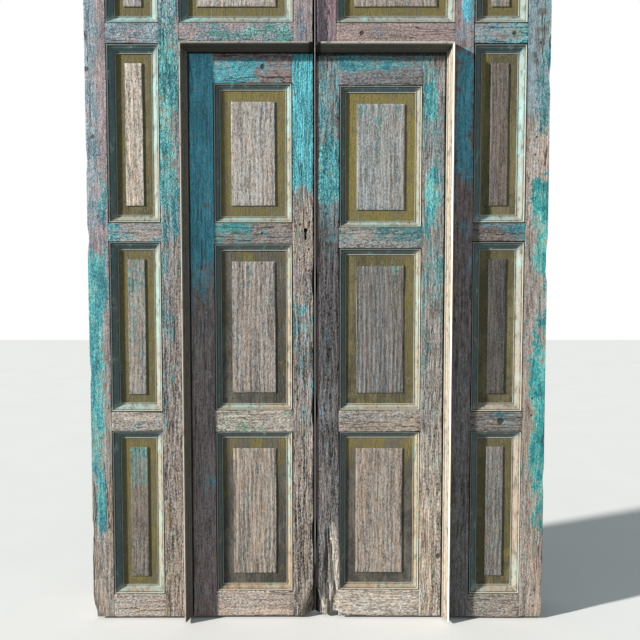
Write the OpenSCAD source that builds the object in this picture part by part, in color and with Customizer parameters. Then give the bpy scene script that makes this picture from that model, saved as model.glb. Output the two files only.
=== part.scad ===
// Double gate with two wicket doors, hung in a plain timber frame.
//
// Two tall gate leaves meet in the middle. Each is an outer column of narrow
// panels with a header across the top, and a wicket door fills the space that
// is left below the header. Gates and wickets are framed and panelled: rails
// are tenoned into stiles, raised panels float in grooves, and mitred mouldings
// are planted round them. Everything opens inwards, towards +Y.
//
// Frame: X across, from left to right as seen from the street; Y from the
// street to the inside; Z up. The origin is on the floor, at the middle of
// the overall width and depth. Lengths are in millimetres.

/* [Gate leaves] */
// Width of each gate from the seam to its outer edge: left, right
gate_w = [794, 814]; // [720:1:1100]
// Thickness of the gate leaves
leaf_t = 55; // [50:1:75]
// Width of the outer stiles: left, right
outer_stile_w = [76, 83]; // [66:1:110]
// Width of the side panel openings: left, right
side_opening_w = [181, 181]; // [140:1:240]
// Width of the stiles between side panels and wicket: left, right
inner_stile_w = [72, 69]; // [60:1:100]
// Width of the short stiles above the wickets, to the seam: left, right
meeting_stile_w = [74, 76]; // [62:1:110]
// Height of the bottom rails beside the wickets
bottom_rail_h = 84; // [60:1:140]
// Height of the lower side rails
lower_rail_h = 70; // [56:1:120]
// Height of the middle side rails
middle_rail_h = 66; // [56:1:120]
// Height of the header rails, at the top of the wickets
header_rail_h = 71; // [56:1:120]
// Height of the top rails
top_rail_h = 93; // [70:1:140]
// Height of the lower side openings
lower_opening_h = 589; // [480:1:720]
// Height of the middle side openings
middle_opening_h = 597; // [480:1:720]
// Height of the upper side openings
upper_opening_h = 610; // [500:1:740]
// Height of the openings above the header
top_opening_h = 380; // [260:1:520]
// Space between the floor and the leaves
floor_gap = 8; // [5:1:14]

/* [Wicket doors] */
// Distance that the wicket faces lie behind the gate faces
wicket_setback = 5; // [2:1:9]
// Width of the wickets' hinge stiles, on the face: left, right
hinge_stile_w = [84, 79]; // [66:1:110]
// Width of the wickets' meeting stiles, to the seam: left, right
lock_stile_w = [79, 86]; // [66:1:110]
// Height of the wickets' bottom rails: left, right
wicket_bottom_rail_h = [94, 97]; // [66:1:140]
// Height of the wickets' lower rails
wicket_lower_rail_h = 78; // [60:1:120]
// Height of the wickets' middle rails
wicket_middle_rail_h = 74; // [60:1:120]
// Height of the wickets' top rails
wicket_top_rail_h = 101; // [70:1:140]
// Distance that the wickets' middle rails hang below the side rails: left, right
wicket_middle_sag = [4, 19]; // [0:1:30]
// Gap between a wicket and its surround, at the side
wicket_side_gap = 4; // [3:1:6]
// Gap between a wicket and its surround, at the top: left, right
wicket_top_gap = [4, 12]; // [3:1:16]

/* [Surround of the wickets] */
// Width of the moulded surround
surround_w = 26; // [20:1:36]
// Distance that the surround stands proud of the gate face
surround_proud = 40; // [12:1:44]
// Depth of the surround behind the gate face, where it stops the wicket
surround_stop = 26; // [20:1:30]
// Gap between the surround's end and the path of the other gate's surround
surround_clearance = 1; // [0.5:0.1:4]

/* [Panels and mouldings] */
// Depth of the panels' margins behind the gate face
panel_depth = 20; // [16:1:30]
// Thickness of the panels' margins
panel_t = 14; // [10:1:16]
// Height of the raised fields above the margins
field_rise = 6; // [4:1:12]
// Width of the margins that show round the raised fields: gates, wickets
margin_w = [30, 36]; // [20:1:42]
// Depth of the grooves that hold the panels
groove_d = 10; // [6:1:12]
// Width of the planted mouldings: gates, wickets
moulding_w = [29, 23]; // [14:1:34]

/* [Joints] */
// Length of the tenons
tenon_l = 40; // [30:1:52]
// Thickness of the tenons
tenon_t = 18; // [12:1:22]
// Diameter of the pegs through the tenons
peg_d = 9; // [6:0.5:12]
// Gap between the leaves at the seam, on the inside
seam_gap = 1; // [0.6:0.1:2]
// Extra opening of the seam on the street side, on each gate
gate_seam_bevel = 6.5; // [4:0.5:10]
// Extra opening of the seam on the street side, on each wicket
wicket_seam_bevel = 4; // [3.5:0.5:9]

/* [Timber frame] */
// Width of the jambs
jamb_w = 65; // [50:1:74]
// Depth of the jambs
jamb_d = 100; // [80:1:140]
// Distance from the leaves' outer edge in to the jambs' outer face
jamb_inset = 14; // [8:1:20]
// Height of the head beam
head_h = 100; // [80:1:140]
// Distance that the head beam's lip reaches down over the leaves
head_lip_h = 12; // [8:1:20]
// Diameter of the holes for the wall bolts
wall_bolt_d = 12; // [8:1:16]

/* [Iron hinges] */
// Height of the gates' hinge straps
strap_h = 40; // [30:1:50]
// Thickness of the gates' hinge straps
strap_t = 5; // [4:0.5:6]
// Diameter of the gates' hinge pins
gate_pin_d = 14; // [10:1:16]
// Wall of the eyes round the gates' hinge pins
eye_wall = 6; // [4:0.5:8]
// Diameter of the coach screws that hold the straps
screw_d = 8; // [6:1:10]
// Height of the wickets' butt hinges
butt_h = 110; // [80:1:140]
// Width of a butt hinge's leaf
butt_w = 46; // [36:1:52]
// Thickness of a butt hinge's leaf
butt_t = 3; // [2:0.5:4]
// Diameter of the wickets' hinge pins
wicket_pin_d = 8; // [6:0.5:9]

/* [Hidden] */
$fn = 48;
LEFT = 0;
RIGHT = 1;
GATE = 0;
WICKET = 1;

overall_w = gate_w[LEFT] + gate_w[RIGHT];
seam_x = gate_w[LEFT] - overall_w / 2;

// Levels above the bottom of a leaf
lower_rail_z = bottom_rail_h + lower_opening_h;
middle_rail_z = lower_rail_z + lower_rail_h + middle_opening_h;
header_z = middle_rail_z + middle_rail_h + upper_opening_h;
top_rail_z = header_z + header_rail_h + top_opening_h;
leaf_h = top_rail_z + top_rail_h;
side_rails = [
    [0, bottom_rail_h],
    [lower_rail_z, lower_rail_z + lower_rail_h],
    [middle_rail_z, middle_rail_z + middle_rail_h],
    [header_z, header_z + header_rail_h]
];
gate_rails = concat(side_rails, [[top_rail_z, leaf_h]]);

// Distances from the seam to the edges in a gate: outer stile, side opening, inner stile
function side_out_u(s) = gate_w[s] - outer_stile_w[s];
function side_in_u(s) = side_out_u(s) - side_opening_w[s];
function inner_u(s) = side_in_u(s) - inner_stile_w[s];
function surround_u(s) = inner_u(s) - surround_w;

// Wicket: distance from the seam to its edge on the face, and the levels of its rails
rebate_gap = 2; // between the surround's stop and the lap behind it
head_rebate_gap = 4; // the same above the wicket
lap_w = surround_w - wicket_side_gap;
function wicket_u(s) = surround_u(s) - wicket_side_gap;
function wicket_inner_u(s) = wicket_u(s) - hinge_stile_w[s];
function wicket_h(s) = header_z - surround_w - wicket_top_gap[s];
wicket_lower_z = lower_rail_z + (lower_rail_h - wicket_lower_rail_h) / 2;
function wicket_middle_z(s) =
    middle_rail_z + (middle_rail_h - wicket_middle_rail_h) / 2 - wicket_middle_sag[s];
function wicket_rails(s) = [
    [0, wicket_bottom_rail_h[s]],
    [wicket_lower_z, wicket_lower_z + wicket_lower_rail_h],
    [wicket_middle_z(s), wicket_middle_z(s) + wicket_middle_rail_h],
    [wicket_h(s) - wicket_top_rail_h, wicket_h(s)]
];

// Depths in a leaf, from the gate face towards the inside
panel_back = panel_depth + panel_t;
tenon_y = panel_depth + panel_t / 2 - tenon_t / 2;
tenon_shoulder = groove_d + 2; // the mortises stop short of the grooves
panel_play = 1;
seam_bevel_depth = 38;
peg_start = 20; // blind pegs, driven from the inside, stop this far behind the gate face
peg_play = 0.1;
peg_sink = 0.6;
cut = 1; // how far a cutter runs past the face that it cuts

// Mouldings: shares of their width, and steps between their levels
cyma_steps = 5;
moulding_sink = 2; // behind the frame's face
moulding_quirk = 2; // from the outer fillet down to the cyma
moulding_lip = 3; // height of the inner fillet above the panel
moulding_fall = 1; // from the cyma down to the inner fillet
moulding_fillet = 0.17;
moulding_cyma = [0.22, 0.83];
surround_fillet = 0.14;
surround_cyma = [0.2, 0.92];
surround_quirk = 3;
surround_lip = 4; // height of the inner edge above the gate face
surround_fall = 1;

// Frame and hinge places
screw_head_d = 2 * screw_d;
screw_head_t = 4;
screw_start = 14; // blind screws stop this far behind the gate face
screw_play = 0.1;
strap_clearance = 3;
strap_room = strap_t + screw_head_t + strap_clearance; // between the leaves and the jambs
jamb_y = leaf_t + strap_room;
jamb_x = overall_w / 2 - jamb_inset;
head_play = 6;
head_lip_t = 18;
head_lip_gap = 2;
head_lip_clearance = 15; // at its ends, from the leaves as they turn
head_z = floor_gap + leaf_h + head_play;
jamb_tenon = [45, 60, 40]; // width, depth and height
wall_bolt_z = [400, 2200];
plate_t = 5;
plate_w = 58;
plate_inset = 4;
arm_h = 12; // a hook's arm, under its pin
arm_wall = 2; // from the pin to the arm's side
pin_top = 6; // how far a pin stands out of its eye
eye_r = gate_pin_d / 2 + eye_wall;
eye_play = 3;
eye_sink = 2; // how far the eyes reach into the straps
pin_play = 0.08;
gate_axis_x = jamb_x - jamb_w - plate_t - eye_play - eye_r;
gate_axis_y = leaf_t + strap_t + eye_r - eye_sink;
head_lip_x = gate_axis_x - gate_axis_y - head_lip_clearance;
strap_levels = [bottom_rail_h / 2, lower_rail_z + lower_rail_h / 2, header_z + header_rail_h / 2];
strap_end = 18; // from the leaf's outer edge to the strap
strap_margin = 14; // from the last screw to the tip of the strap
end_screw = 12; // from the strap's outer end to its first screw
rail_screws = [75, 35]; // from the ends of a side rail's opening
header_screws = [90, 190]; // from the inner stile, for the strap on the header
peg_clearance = 14; // from the inner stile's pegs to its screw
function gate_axis_u(s) = gate_axis_x + (s == LEFT ? seam_x : -seam_x);

// The front of a surround's end swings past the seam as its gate opens
function surround_sweep(s) =
    norm([gate_axis_u(s), gate_axis_y + surround_proud]) - gate_axis_u(s);
surround_end_u = max(surround_sweep(LEFT), surround_sweep(RIGHT)) + surround_clearance;

knuckle_wall = 3;
knuckle_r = wicket_pin_d / 2 + knuckle_wall;
butt_play = 0.5;
wicket_axis_y = leaf_t + knuckle_r + butt_play;
butt_gap = 2; // between a plate and the line of the pin
butt_shares = [0.1, 0.48, 0.86]; // of the height that a hinge can be at
function wicket_axis_u(s) = inner_u(s) - wicket_side_gap / 2;
function butt_levels(s) = butt_shares * (wicket_h(s) - butt_h);

// Depth from the face of the surround to the back of the jambs
overall_d = surround_proud + jamb_y + jamb_d;
face_y = surround_proud - overall_d / 2;

// Wear: a worn keyhole, and the broken feet of the wickets' meeting stiles
keyhole = [10, 42, 34]; // width, height, depth
keyhole_wall = 1; // between the keyhole and the end of the rail's tenon
keyhole_rise = 15; // from the bottom of the middle rail to the keyhole
keyhole_u = lock_stile_w[LEFT] - tenon_l - keyhole[0] / 2 - keyhole_wall;
foot_break = [[17, 60], [17, 20]]; // width and height of the corner that is gone: left, right
stub_break = [26, 72, 30]; // width, height and depth of the split

// ---- Helpers ----

module box(low, high) {
    translate(low) cube(high - low);
}

// Places what is modelled in leaf coordinates: u from the seam to the outside,
// y from the gate face inwards, z from the bottom of the leaf.
module leaf_frame(s) {
    translate([seam_x, face_y, floor_gap])
        mirror([s == LEFT ? 1 : 0, 0, 0])
            children();
}

// A round bar or hole along y
module bar_y(u, z, d, y0, y1) {
    translate([u, y0, z]) rotate([-90, 0, 0]) cylinder(d = d, h = y1 - y0);
}

// The open heights between rails
function openings(rails) = [for (i = [0 : len(rails) - 2]) [rails[i][1], rails[i + 1][0]]];

// Slots in the edge of a stile for the rails' tenons: the edge is at u, and the
// wood lies on the side that way points to
module mortises(u, way, rails, depth = tenon_l) {
    for (r = rails)
        box([min(u - way * cut, u + way * depth), tenon_y, r[0] + tenon_shoulder],
            [max(u - way * cut, u + way * depth), tenon_y + tenon_t, r[1] - tenon_shoulder]);
}

// Grooves in the edge of a stile, each a little longer than its opening
module stile_grooves(u, way, gaps) {
    for (g = gaps)
        box([min(u - way * cut, u + way * groove_d), panel_depth, g[0] - groove_d],
            [max(u - way * cut, u + way * groove_d), panel_back, g[1] + groove_d]);
}

// Places of the pegs in the joints between a stile's edge and its rails
function peg_places(u, way, rails, depth = tenon_l) =
    [for (r = rails) [u + way * depth / 2, (r[0] + r[1]) / 2]];

module pegs(places) {
    for (p = places)
        bar_y(p[0], p[1], peg_d, peg_start + peg_play, leaf_t - peg_sink);
}

module peg_holes(places) {
    for (p = places)
        bar_y(p[0], p[1], peg_d + 2 * peg_play, peg_start, leaf_t + cut);
}

// A rail between u0 and u1 with a tenon at each end, and grooves below or above
module rail(u0, u1, z0, z1, y0, groove_below, groove_above,
            tenon_0 = tenon_l, tenon_1 = tenon_l) {
    difference() {
        union() {
            box([u0, y0, z0], [u1, leaf_t, z1]);
            box([u0 - tenon_0, tenon_y, z0 + tenon_shoulder],
                [u1 + tenon_1, tenon_y + tenon_t, z1 - tenon_shoulder]);
        }
        if (groove_below)
            box([u0 - cut, panel_depth, z0 - cut], [u1 + cut, panel_back, z0 + groove_d]);
        if (groove_above)
            box([u0 - cut, panel_depth, z1 - groove_d], [u1 + cut, panel_back, z1 + cut]);
        peg_holes(peg_places(u0, -1, [[z0, z1]], tenon_0));
        peg_holes(peg_places(u1, 1, [[z0, z1]], tenon_1));
    }
}

// A raised panel for the opening u0 to u1, z0 to z1 of a GATE or a WICKET
module raised_panel(u0, u1, z0, z1, leaf) {
    reach = groove_d - panel_play;
    inset = moulding_w[leaf] + margin_w[leaf];
    box([u0 - reach, panel_depth, z0 - reach], [u1 + reach, panel_back, z1 + reach]);
    box([u0 + inset, panel_depth - field_rise, z0 + inset],
        [u1 - inset, panel_back - cut, z1 - inset]);
}

// Section of a planted moulding: across from the frame's edge, and depth. A flat
// fillet at the frame, a cyma that falls away, and a flat fillet on the panel.
function cyma(across, from, to) =
    [for (i = [0 : cyma_steps])
        [across[0] + (across[1] - across[0]) * i / cyma_steps,
         from + (to - from) * (1 - cos(180 * i / cyma_steps)) / 2]];
function moulding_section(w, face) =
    let (top = face + moulding_sink, bottom = panel_depth - moulding_lip)
    concat(
        [[0, panel_depth], [0, top], [w * moulding_fillet, top]],
        cyma(w * moulding_cyma, top + moulding_quirk, bottom - moulding_fall),
        [[w, bottom], [w, panel_depth]]
    );

// Section of the surround: highest at its outer edge, falling to the wicket
surround_section = concat(
    [[0, surround_stop], [0, -surround_proud], [surround_w * surround_fillet, -surround_proud]],
    cyma(surround_w * surround_cyma, surround_quirk - surround_proud,
         -surround_lip - surround_fall),
    [[surround_w, -surround_lip], [surround_w, surround_stop]]
);

// Runs a section along z or along u, as a straight strip with its edge on the origin
module strip_up(section, length) {
    linear_extrude(length) polygon(section);
}
module strip_across(section, length) {
    rotate([90, 0, 90])
        linear_extrude(length) polygon([for (p = section) [p[1], p[0]]]);
}

// A prism through the leaf whose outline is seen from the street
module seen_outline(points) {
    translate([0, leaf_t, 0]) rotate([90, 0, 0])
        linear_extrude(leaf_t + surround_proud + cut) polygon(points);
}

// Four mitred mouldings round the opening u0 to u1, z0 to z1 of a GATE or a WICKET
module moulding_set(u0, u1, z0, z1, leaf) {
    m = moulding_w[leaf];
    section = moulding_section(m, leaf == WICKET ? wicket_setback : 0);
    intersection() {
        translate([u0, 0, z0]) strip_up(section, z1 - z0);
        seen_outline([[u0, z0], [u0 + m, z0 + m], [u0 + m, z1 - m], [u0, z1]]);
    }
    intersection() {
        translate([u1, 0, z0]) mirror([1, 0, 0]) strip_up(section, z1 - z0);
        seen_outline([[u1, z0], [u1, z1], [u1 - m, z1 - m], [u1 - m, z0 + m]]);
    }
    intersection() {
        translate([u0, 0, z0]) strip_across(section, u1 - u0);
        seen_outline([[u0, z0], [u1, z0], [u1 - m, z0 + m], [u0 + m, z0 + m]]);
    }
    intersection() {
        translate([u0, 0, z1]) mirror([0, 0, 1]) strip_across(section, u1 - u0);
        seen_outline([[u0, z1], [u0 + m, z1 - m], [u1 - m, z1 - m], [u1, z1]]);
    }
}

// Section of a meeting stile, with its street side bevelled back from the seam
module seam_section(w, y0, bevel) {
    polygon([[w, y0], [bevel + seam_gap / 2, y0], [seam_gap / 2, seam_bevel_depth],
             [seam_gap / 2, leaf_t], [w, leaf_t]]);
}

// ---- Frame ----

module jamb(s) {
    color("rosybrown")
    translate([0, face_y, 0]) mirror([s == LEFT ? 1 : 0, 0, 0])
    difference() {
        union() {
            box([jamb_x - jamb_w, jamb_y, 0], [jamb_x, jamb_y + jamb_d, head_z]);
            box([jamb_x - jamb_w / 2 - jamb_tenon[0] / 2,
                 jamb_y + jamb_d / 2 - jamb_tenon[1] / 2, head_z - cut],
                [jamb_x - jamb_w / 2 + jamb_tenon[0] / 2,
                 jamb_y + jamb_d / 2 + jamb_tenon[1] / 2, head_z + jamb_tenon[2]]);
        }
        for (z = wall_bolt_z)
            translate([jamb_x - jamb_w - cut, jamb_y + jamb_d / 2, z])
                rotate([0, 90, 0]) cylinder(d = wall_bolt_d, h = jamb_w + 2 * cut);
    }
}

module head_beam() {
    color("rosybrown")
    translate([0, face_y, 0])
    difference() {
        union() {
            box([-overall_w / 2, -head_lip_gap - head_lip_t, head_z],
                [overall_w / 2, jamb_y + jamb_d, head_z + head_h]);
            box([-head_lip_x, -head_lip_gap - head_lip_t, head_z - head_play - head_lip_h],
                [head_lip_x, -head_lip_gap, head_z + cut]);
        }
        for (side = [-1, 1])
            translate([side * (jamb_x - jamb_w / 2), jamb_y + jamb_d / 2, head_z - cut])
                translate([-jamb_tenon[0] / 2, -jamb_tenon[1] / 2, 0])
                    cube([jamb_tenon[0], jamb_tenon[1], jamb_tenon[2] + cut]);
    }
}

// A hook on a plate, below the eye of each strap
module pintle(z) {
    arm_top = z - strap_h / 2 - butt_play;
    arm_half = gate_pin_d / 2 + arm_wall;
    plate_x = jamb_x - jamb_w;
    box([plate_x - plate_t, jamb_y + plate_inset, arm_top - 2 * arm_h],
        [plate_x, jamb_y + plate_inset + plate_w, z + strap_h / 2]);
    box([gate_axis_x - arm_half, gate_axis_y - arm_half, arm_top - arm_h],
        [plate_x - plate_t + cut, gate_axis_y + arm_half, arm_top]);
    translate([gate_axis_x, gate_axis_y, arm_top - cut])
        cylinder(d = gate_pin_d, h = strap_h + 2 * butt_play + pin_top + cut);
}

module gate_pintles() {
    color("dimgray")
    translate([0, face_y, floor_gap])
        for (side = [0, 1], z = strap_levels)
            mirror([side, 0, 0]) pintle(z);
}

// ---- Gates ----

// An inner stile's mortises come from both sides, so each is half as deep
function half_tenon(s) = inner_stile_w[s] / 2;
function inner_stile_mid(s) = inner_u(s) + half_tenon(s);

function outer_pegs(s) = peg_places(side_out_u(s), 1, gate_rails);
function inner_pegs(s) = concat(
    peg_places(side_in_u(s), -1, side_rails, half_tenon(s)),
    peg_places(inner_u(s), 1, [side_rails[3]], half_tenon(s)),
    [[inner_stile_mid(s), top_rail_z + tenon_l / 2]]
);
function meeting_pegs(s) = peg_places(meeting_stile_w[s], -1, [gate_rails[3], gate_rails[4]]);

// Screws of the straps: in the outer stile, the rail and then the inner stile,
// or for the top strap the header
function strap_screws(s, i) = concat(
    [gate_w[s] - strap_end - end_screw,
     side_out_u(s) - rail_screws[0],
     side_in_u(s) + rail_screws[1]],
    i == 2 ? [for (away = header_screws) inner_u(s) - away]
           : [side_in_u(s) - half_tenon(s) - peg_clearance]
);
function strap_tip(s, i) = min(strap_screws(s, i)) - strap_margin;

module screw_holes(s) {
    for (i = [0 : 2], u = strap_screws(s, i))
        bar_y(u, strap_levels[i], screw_d + 2 * screw_play, screw_start, leaf_t + strap_t + cut);
}

module gate_outer_stile(s) {
    color("turquoise")
    leaf_frame(s)
    difference() {
        box([side_out_u(s), 0, 0], [gate_w[s], leaf_t, leaf_h]);
        mortises(side_out_u(s), 1, gate_rails);
        stile_grooves(side_out_u(s), 1, openings(gate_rails));
        peg_holes(outer_pegs(s));
        screw_holes(s);
    }
}

// The tenon that joins the inner stile to the top rail
module top_tenon(s, length) {
    half = half_tenon(s) - tenon_shoulder;
    box([inner_stile_mid(s) - half, tenon_y, top_rail_z - cut],
        [inner_stile_mid(s) + half, tenon_y + tenon_t, top_rail_z + length]);
}

module gate_inner_stile(s) {
    color("cadetblue")
    leaf_frame(s)
    difference() {
        union() {
            box([inner_u(s), 0, 0], [side_in_u(s), leaf_t, top_rail_z]);
            top_tenon(s, tenon_l);
        }
        mortises(side_in_u(s), -1, side_rails, half_tenon(s));
        mortises(inner_u(s), 1, [side_rails[3]], half_tenon(s));
        stile_grooves(side_in_u(s), -1, openings(gate_rails));
        stile_grooves(inner_u(s), 1, [openings(gate_rails)[3]]);
        peg_holes(inner_pegs(s));
        screw_holes(s);
    }
}

module gate_meeting_stile(s) {
    color("rosybrown")
    leaf_frame(s)
    difference() {
        translate([0, 0, header_z]) linear_extrude(leaf_h - header_z)
            seam_section(meeting_stile_w[s], 0, gate_seam_bevel);
        mortises(meeting_stile_w[s], -1, [gate_rails[3], gate_rails[4]]);
        stile_grooves(meeting_stile_w[s], -1, [openings(gate_rails)[3]]);
        peg_holes(meeting_pegs(s));
    }
}

module gate_side_rails(s) {
    color("darkgray")
    leaf_frame(s)
        for (i = [0 : 3])
            difference() {
                rail(side_in_u(s), side_out_u(s), side_rails[i][0], side_rails[i][1], 0,
                     i > 0, true, half_tenon(s), tenon_l);
                screw_holes(s);
            }
}

module gate_header_rail(s) {
    color("rosybrown")
    leaf_frame(s)
    difference() {
        rail(meeting_stile_w[s], inner_u(s), side_rails[3][0], side_rails[3][1], 0,
             false, true, tenon_l, half_tenon(s));
        screw_holes(s);
    }
}

module gate_top_rail(s) {
    color("rosybrown")
    leaf_frame(s)
    difference() {
        rail(meeting_stile_w[s], side_out_u(s), top_rail_z, leaf_h, 0, true, false);
        top_tenon(s, tenon_l);
        peg_holes(inner_pegs(s));
    }
}

module gate_side_panel(s, i) {
    gap = openings(gate_rails)[i];
    color("olive")
    leaf_frame(s) raised_panel(side_in_u(s), side_out_u(s), gap[0], gap[1], GATE);
}

module gate_top_panel(s) {
    gap = openings(gate_rails)[3];
    color("olive")
    leaf_frame(s) raised_panel(meeting_stile_w[s], inner_u(s), gap[0], gap[1], GATE);
}

module gate_mouldings(s) {
    gaps = openings(gate_rails);
    color("wheat")
    leaf_frame(s) {
        for (g = gaps)
            moulding_set(side_in_u(s), side_out_u(s), g[0], g[1], GATE);
        moulding_set(meeting_stile_w[s], inner_u(s), gaps[3][0], gaps[3][1], GATE);
    }
}

// An upright and a head piece, mitred together, that frame the wicket
module gate_surround(s) {
    u = inner_u(s);
    w = surround_w;
    color("wheat")
    leaf_frame(s) {
        intersection() {
            translate([u, 0, 0]) mirror([1, 0, 0]) strip_up(surround_section, header_z);
            seen_outline([[u, 0], [u, header_z], [u - w, header_z - w], [u - w, 0]]);
        }
        intersection() {
            translate([surround_end_u, 0, header_z]) mirror([0, 0, 1])
                strip_across(surround_section, u - surround_end_u);
            seen_outline([[surround_end_u, header_z], [surround_end_u, header_z - w],
                          [u - w, header_z - w], [u, header_z]]);
        }
    }
}

module gate_pegs(s) {
    color("saddlebrown")
    leaf_frame(s)
        pegs(concat(outer_pegs(s), inner_pegs(s), meeting_pegs(s)));
}

// Straps screwed across the back of the rails, each with an eye for its pintle
module gate_strap_hinges(s) {
    axis_u = gate_axis_u(s);
    color("dimgray")
    leaf_frame(s)
        for (i = [0 : 2]) {
            z = strap_levels[i];
            difference() {
                union() {
                    box([strap_tip(s, i), leaf_t, z - strap_h / 2],
                        [gate_w[s] - strap_end, leaf_t + strap_t, z + strap_h / 2]);
                    translate([axis_u, gate_axis_y, z - strap_h / 2])
                        cylinder(r = eye_r, h = strap_h);
                }
                translate([axis_u, gate_axis_y, z - strap_h / 2 - cut])
                    cylinder(d = gate_pin_d + 2 * pin_play, h = strap_h + 2 * cut);
                screw_holes(s);
            }
            for (u = strap_screws(s, i)) {
                bar_y(u, z, screw_d, screw_start + screw_play, leaf_t + strap_t + cut);
                bar_y(u, z, screw_head_d, leaf_t + strap_t, leaf_t + strap_t + screw_head_t);
            }
        }
}

// ---- Butt hinges between gate and wicket ----

module butt_plate(u0, u1) {
    box([min(u0, u1), leaf_t, 0], [max(u0, u1), leaf_t + butt_t, butt_h]);
}

// The half on the gate: a plate, the two end knuckles and the pin
module gate_butt_hinges(s) {
    axis_u = wicket_axis_u(s);
    third = butt_h / 3;
    color("dimgray")
    leaf_frame(s)
        for (z = butt_levels(s)) translate([0, 0, z]) {
            difference() {
                butt_plate(axis_u + butt_gap, axis_u + butt_w);
                translate([axis_u, wicket_axis_y, third - butt_play])
                    cylinder(r = knuckle_r + butt_play, h = third + 2 * butt_play);
            }
            for (k = [0, 2 * third + butt_play])
                translate([axis_u, wicket_axis_y, k])
                    cylinder(r = knuckle_r, h = third - butt_play);
            translate([axis_u, wicket_axis_y, 0]) cylinder(d = wicket_pin_d, h = butt_h);
        }
}

// The half on the wicket: a plate and the middle knuckle, which turns on the pin
module wicket_butt_hinges(s) {
    axis_u = wicket_axis_u(s);
    third = butt_h / 3;
    color("dimgray")
    leaf_frame(s)
        for (z = butt_levels(s)) translate([0, 0, z])
            difference() {
                union() {
                    butt_plate(axis_u - butt_w, axis_u - butt_gap);
                    translate([axis_u, wicket_axis_y, third])
                        cylinder(r = knuckle_r, h = third);
                }
                for (k = [-cut, 2 * third])
                    translate([axis_u, wicket_axis_y, k])
                        cylinder(r = knuckle_r + butt_play, h = third + cut);
                translate([axis_u, wicket_axis_y, third - cut])
                    cylinder(d = wicket_pin_d + 2 * pin_play, h = third + 2 * cut);
            }
}

// ---- Wickets ----

function hinge_stile_pegs(s) = peg_places(wicket_inner_u(s), 1, wicket_rails(s));
function lock_stile_pegs(s) = peg_places(lock_stile_w[s], -1, wicket_rails(s));

// The back of a wicket is wider and taller than its face, and laps the surround
module wicket_hinge_stile(s) {
    color("steelblue")
    leaf_frame(s)
    difference() {
        union() {
            box([wicket_inner_u(s), wicket_setback, 0],
                [wicket_u(s), leaf_t, wicket_h(s)]);
            box([wicket_inner_u(s), surround_stop + rebate_gap, 0],
                [wicket_u(s) + lap_w, leaf_t, wicket_h(s) + lap_w]);
        }
        mortises(wicket_inner_u(s), 1, wicket_rails(s));
        stile_grooves(wicket_inner_u(s), 1, openings(wicket_rails(s)));
        peg_holes(hinge_stile_pegs(s));
    }
}

module wicket_meeting_stile(s) {
    h = wicket_h(s);
    color("rosybrown")
    leaf_frame(s)
    difference() {
        union() {
            linear_extrude(h)
                seam_section(lock_stile_w[s], wicket_setback, wicket_seam_bevel);
            box([seam_gap / 2, surround_stop + head_rebate_gap, h - cut],
                [lock_stile_w[s], leaf_t, h + lap_w]);
        }
        mortises(lock_stile_w[s], -1, wicket_rails(s));
        stile_grooves(lock_stile_w[s], -1, openings(wicket_rails(s)));
        peg_holes(lock_stile_pegs(s));
        seen_outline([[-cut, -cut], [foot_break[s][0], -cut], [-cut, foot_break[s][1]]]);
        if (s == LEFT) {
            z = wicket_rails(s)[2][0] + keyhole_rise;
            box([keyhole_u - keyhole[0] / 2, 0, z],
                [keyhole_u + keyhole[0] / 2, wicket_setback + keyhole[2], z + keyhole[1]]);
        } else {
            box([lock_stile_w[s] - stub_break[0], 0, -cut],
                [lock_stile_w[s] + cut, stub_break[2], stub_break[1]]);
        }
    }
}

module wicket_rail(s, i) {
    r = wicket_rails(s)[i];
    top = i == 3;
    color("darkgray")
    leaf_frame(s) {
        difference() {
            union() {
                rail(lock_stile_w[s], wicket_inner_u(s), r[0], r[1], wicket_setback,
                     i > 0, !top);
                if (top)
                    box([lock_stile_w[s], surround_stop + head_rebate_gap, r[1] - cut],
                        [wicket_inner_u(s), leaf_t, r[1] + lap_w]);
            }
            // The broken foot of the right meeting stile has taken its tenon's front
            if (s == RIGHT && i == 0)
                box([0, 0, 0], [lock_stile_w[s], stub_break[2], stub_break[1]]);
        }
    }
}

module wicket_panel(s, i) {
    gap = openings(wicket_rails(s))[i];
    color("olive")
    leaf_frame(s) raised_panel(lock_stile_w[s], wicket_inner_u(s), gap[0], gap[1], WICKET);
}

module wicket_mouldings(s) {
    color("wheat")
    leaf_frame(s)
        for (g = openings(wicket_rails(s)))
            moulding_set(lock_stile_w[s], wicket_inner_u(s), g[0], g[1], WICKET);
}

module wicket_pegs(s) {
    color("saddlebrown")
    leaf_frame(s)
        pegs(concat(hinge_stile_pegs(s), lock_stile_pegs(s)));
}

// ---- Nodes ----

jamb(LEFT);  // jamb_left
jamb(RIGHT);  // jamb_right
head_beam();
gate_pintles();

for (s = [LEFT, RIGHT]) {
    g = s == LEFT ? "gate_left_" : "gate_right_";
    w = s == LEFT ? "wicket_left_" : "wicket_right_";
    gate_outer_stile(s);
    gate_inner_stile(s);
    gate_meeting_stile(s);
    gate_side_rails(s);
    gate_header_rail(s);
    gate_top_rail(s);
    for (i = [0 : 3])
        gate_side_panel(s, i);
    gate_top_panel(s);
    gate_mouldings(s);
    gate_surround(s);
    gate_pegs(s);
    gate_strap_hinges(s);
    gate_butt_hinges(s);

    wicket_hinge_stile(s);
    wicket_meeting_stile(s);
    wicket_rail(s, 0);
    wicket_rail(s, 1);
    wicket_rail(s, 2);
    wicket_rail(s, 3);
    for (i = [0 : 2])
        wicket_panel(s, i);
    wicket_mouldings(s);
    wicket_pegs(s);
    wicket_butt_hinges(s);
}
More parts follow.
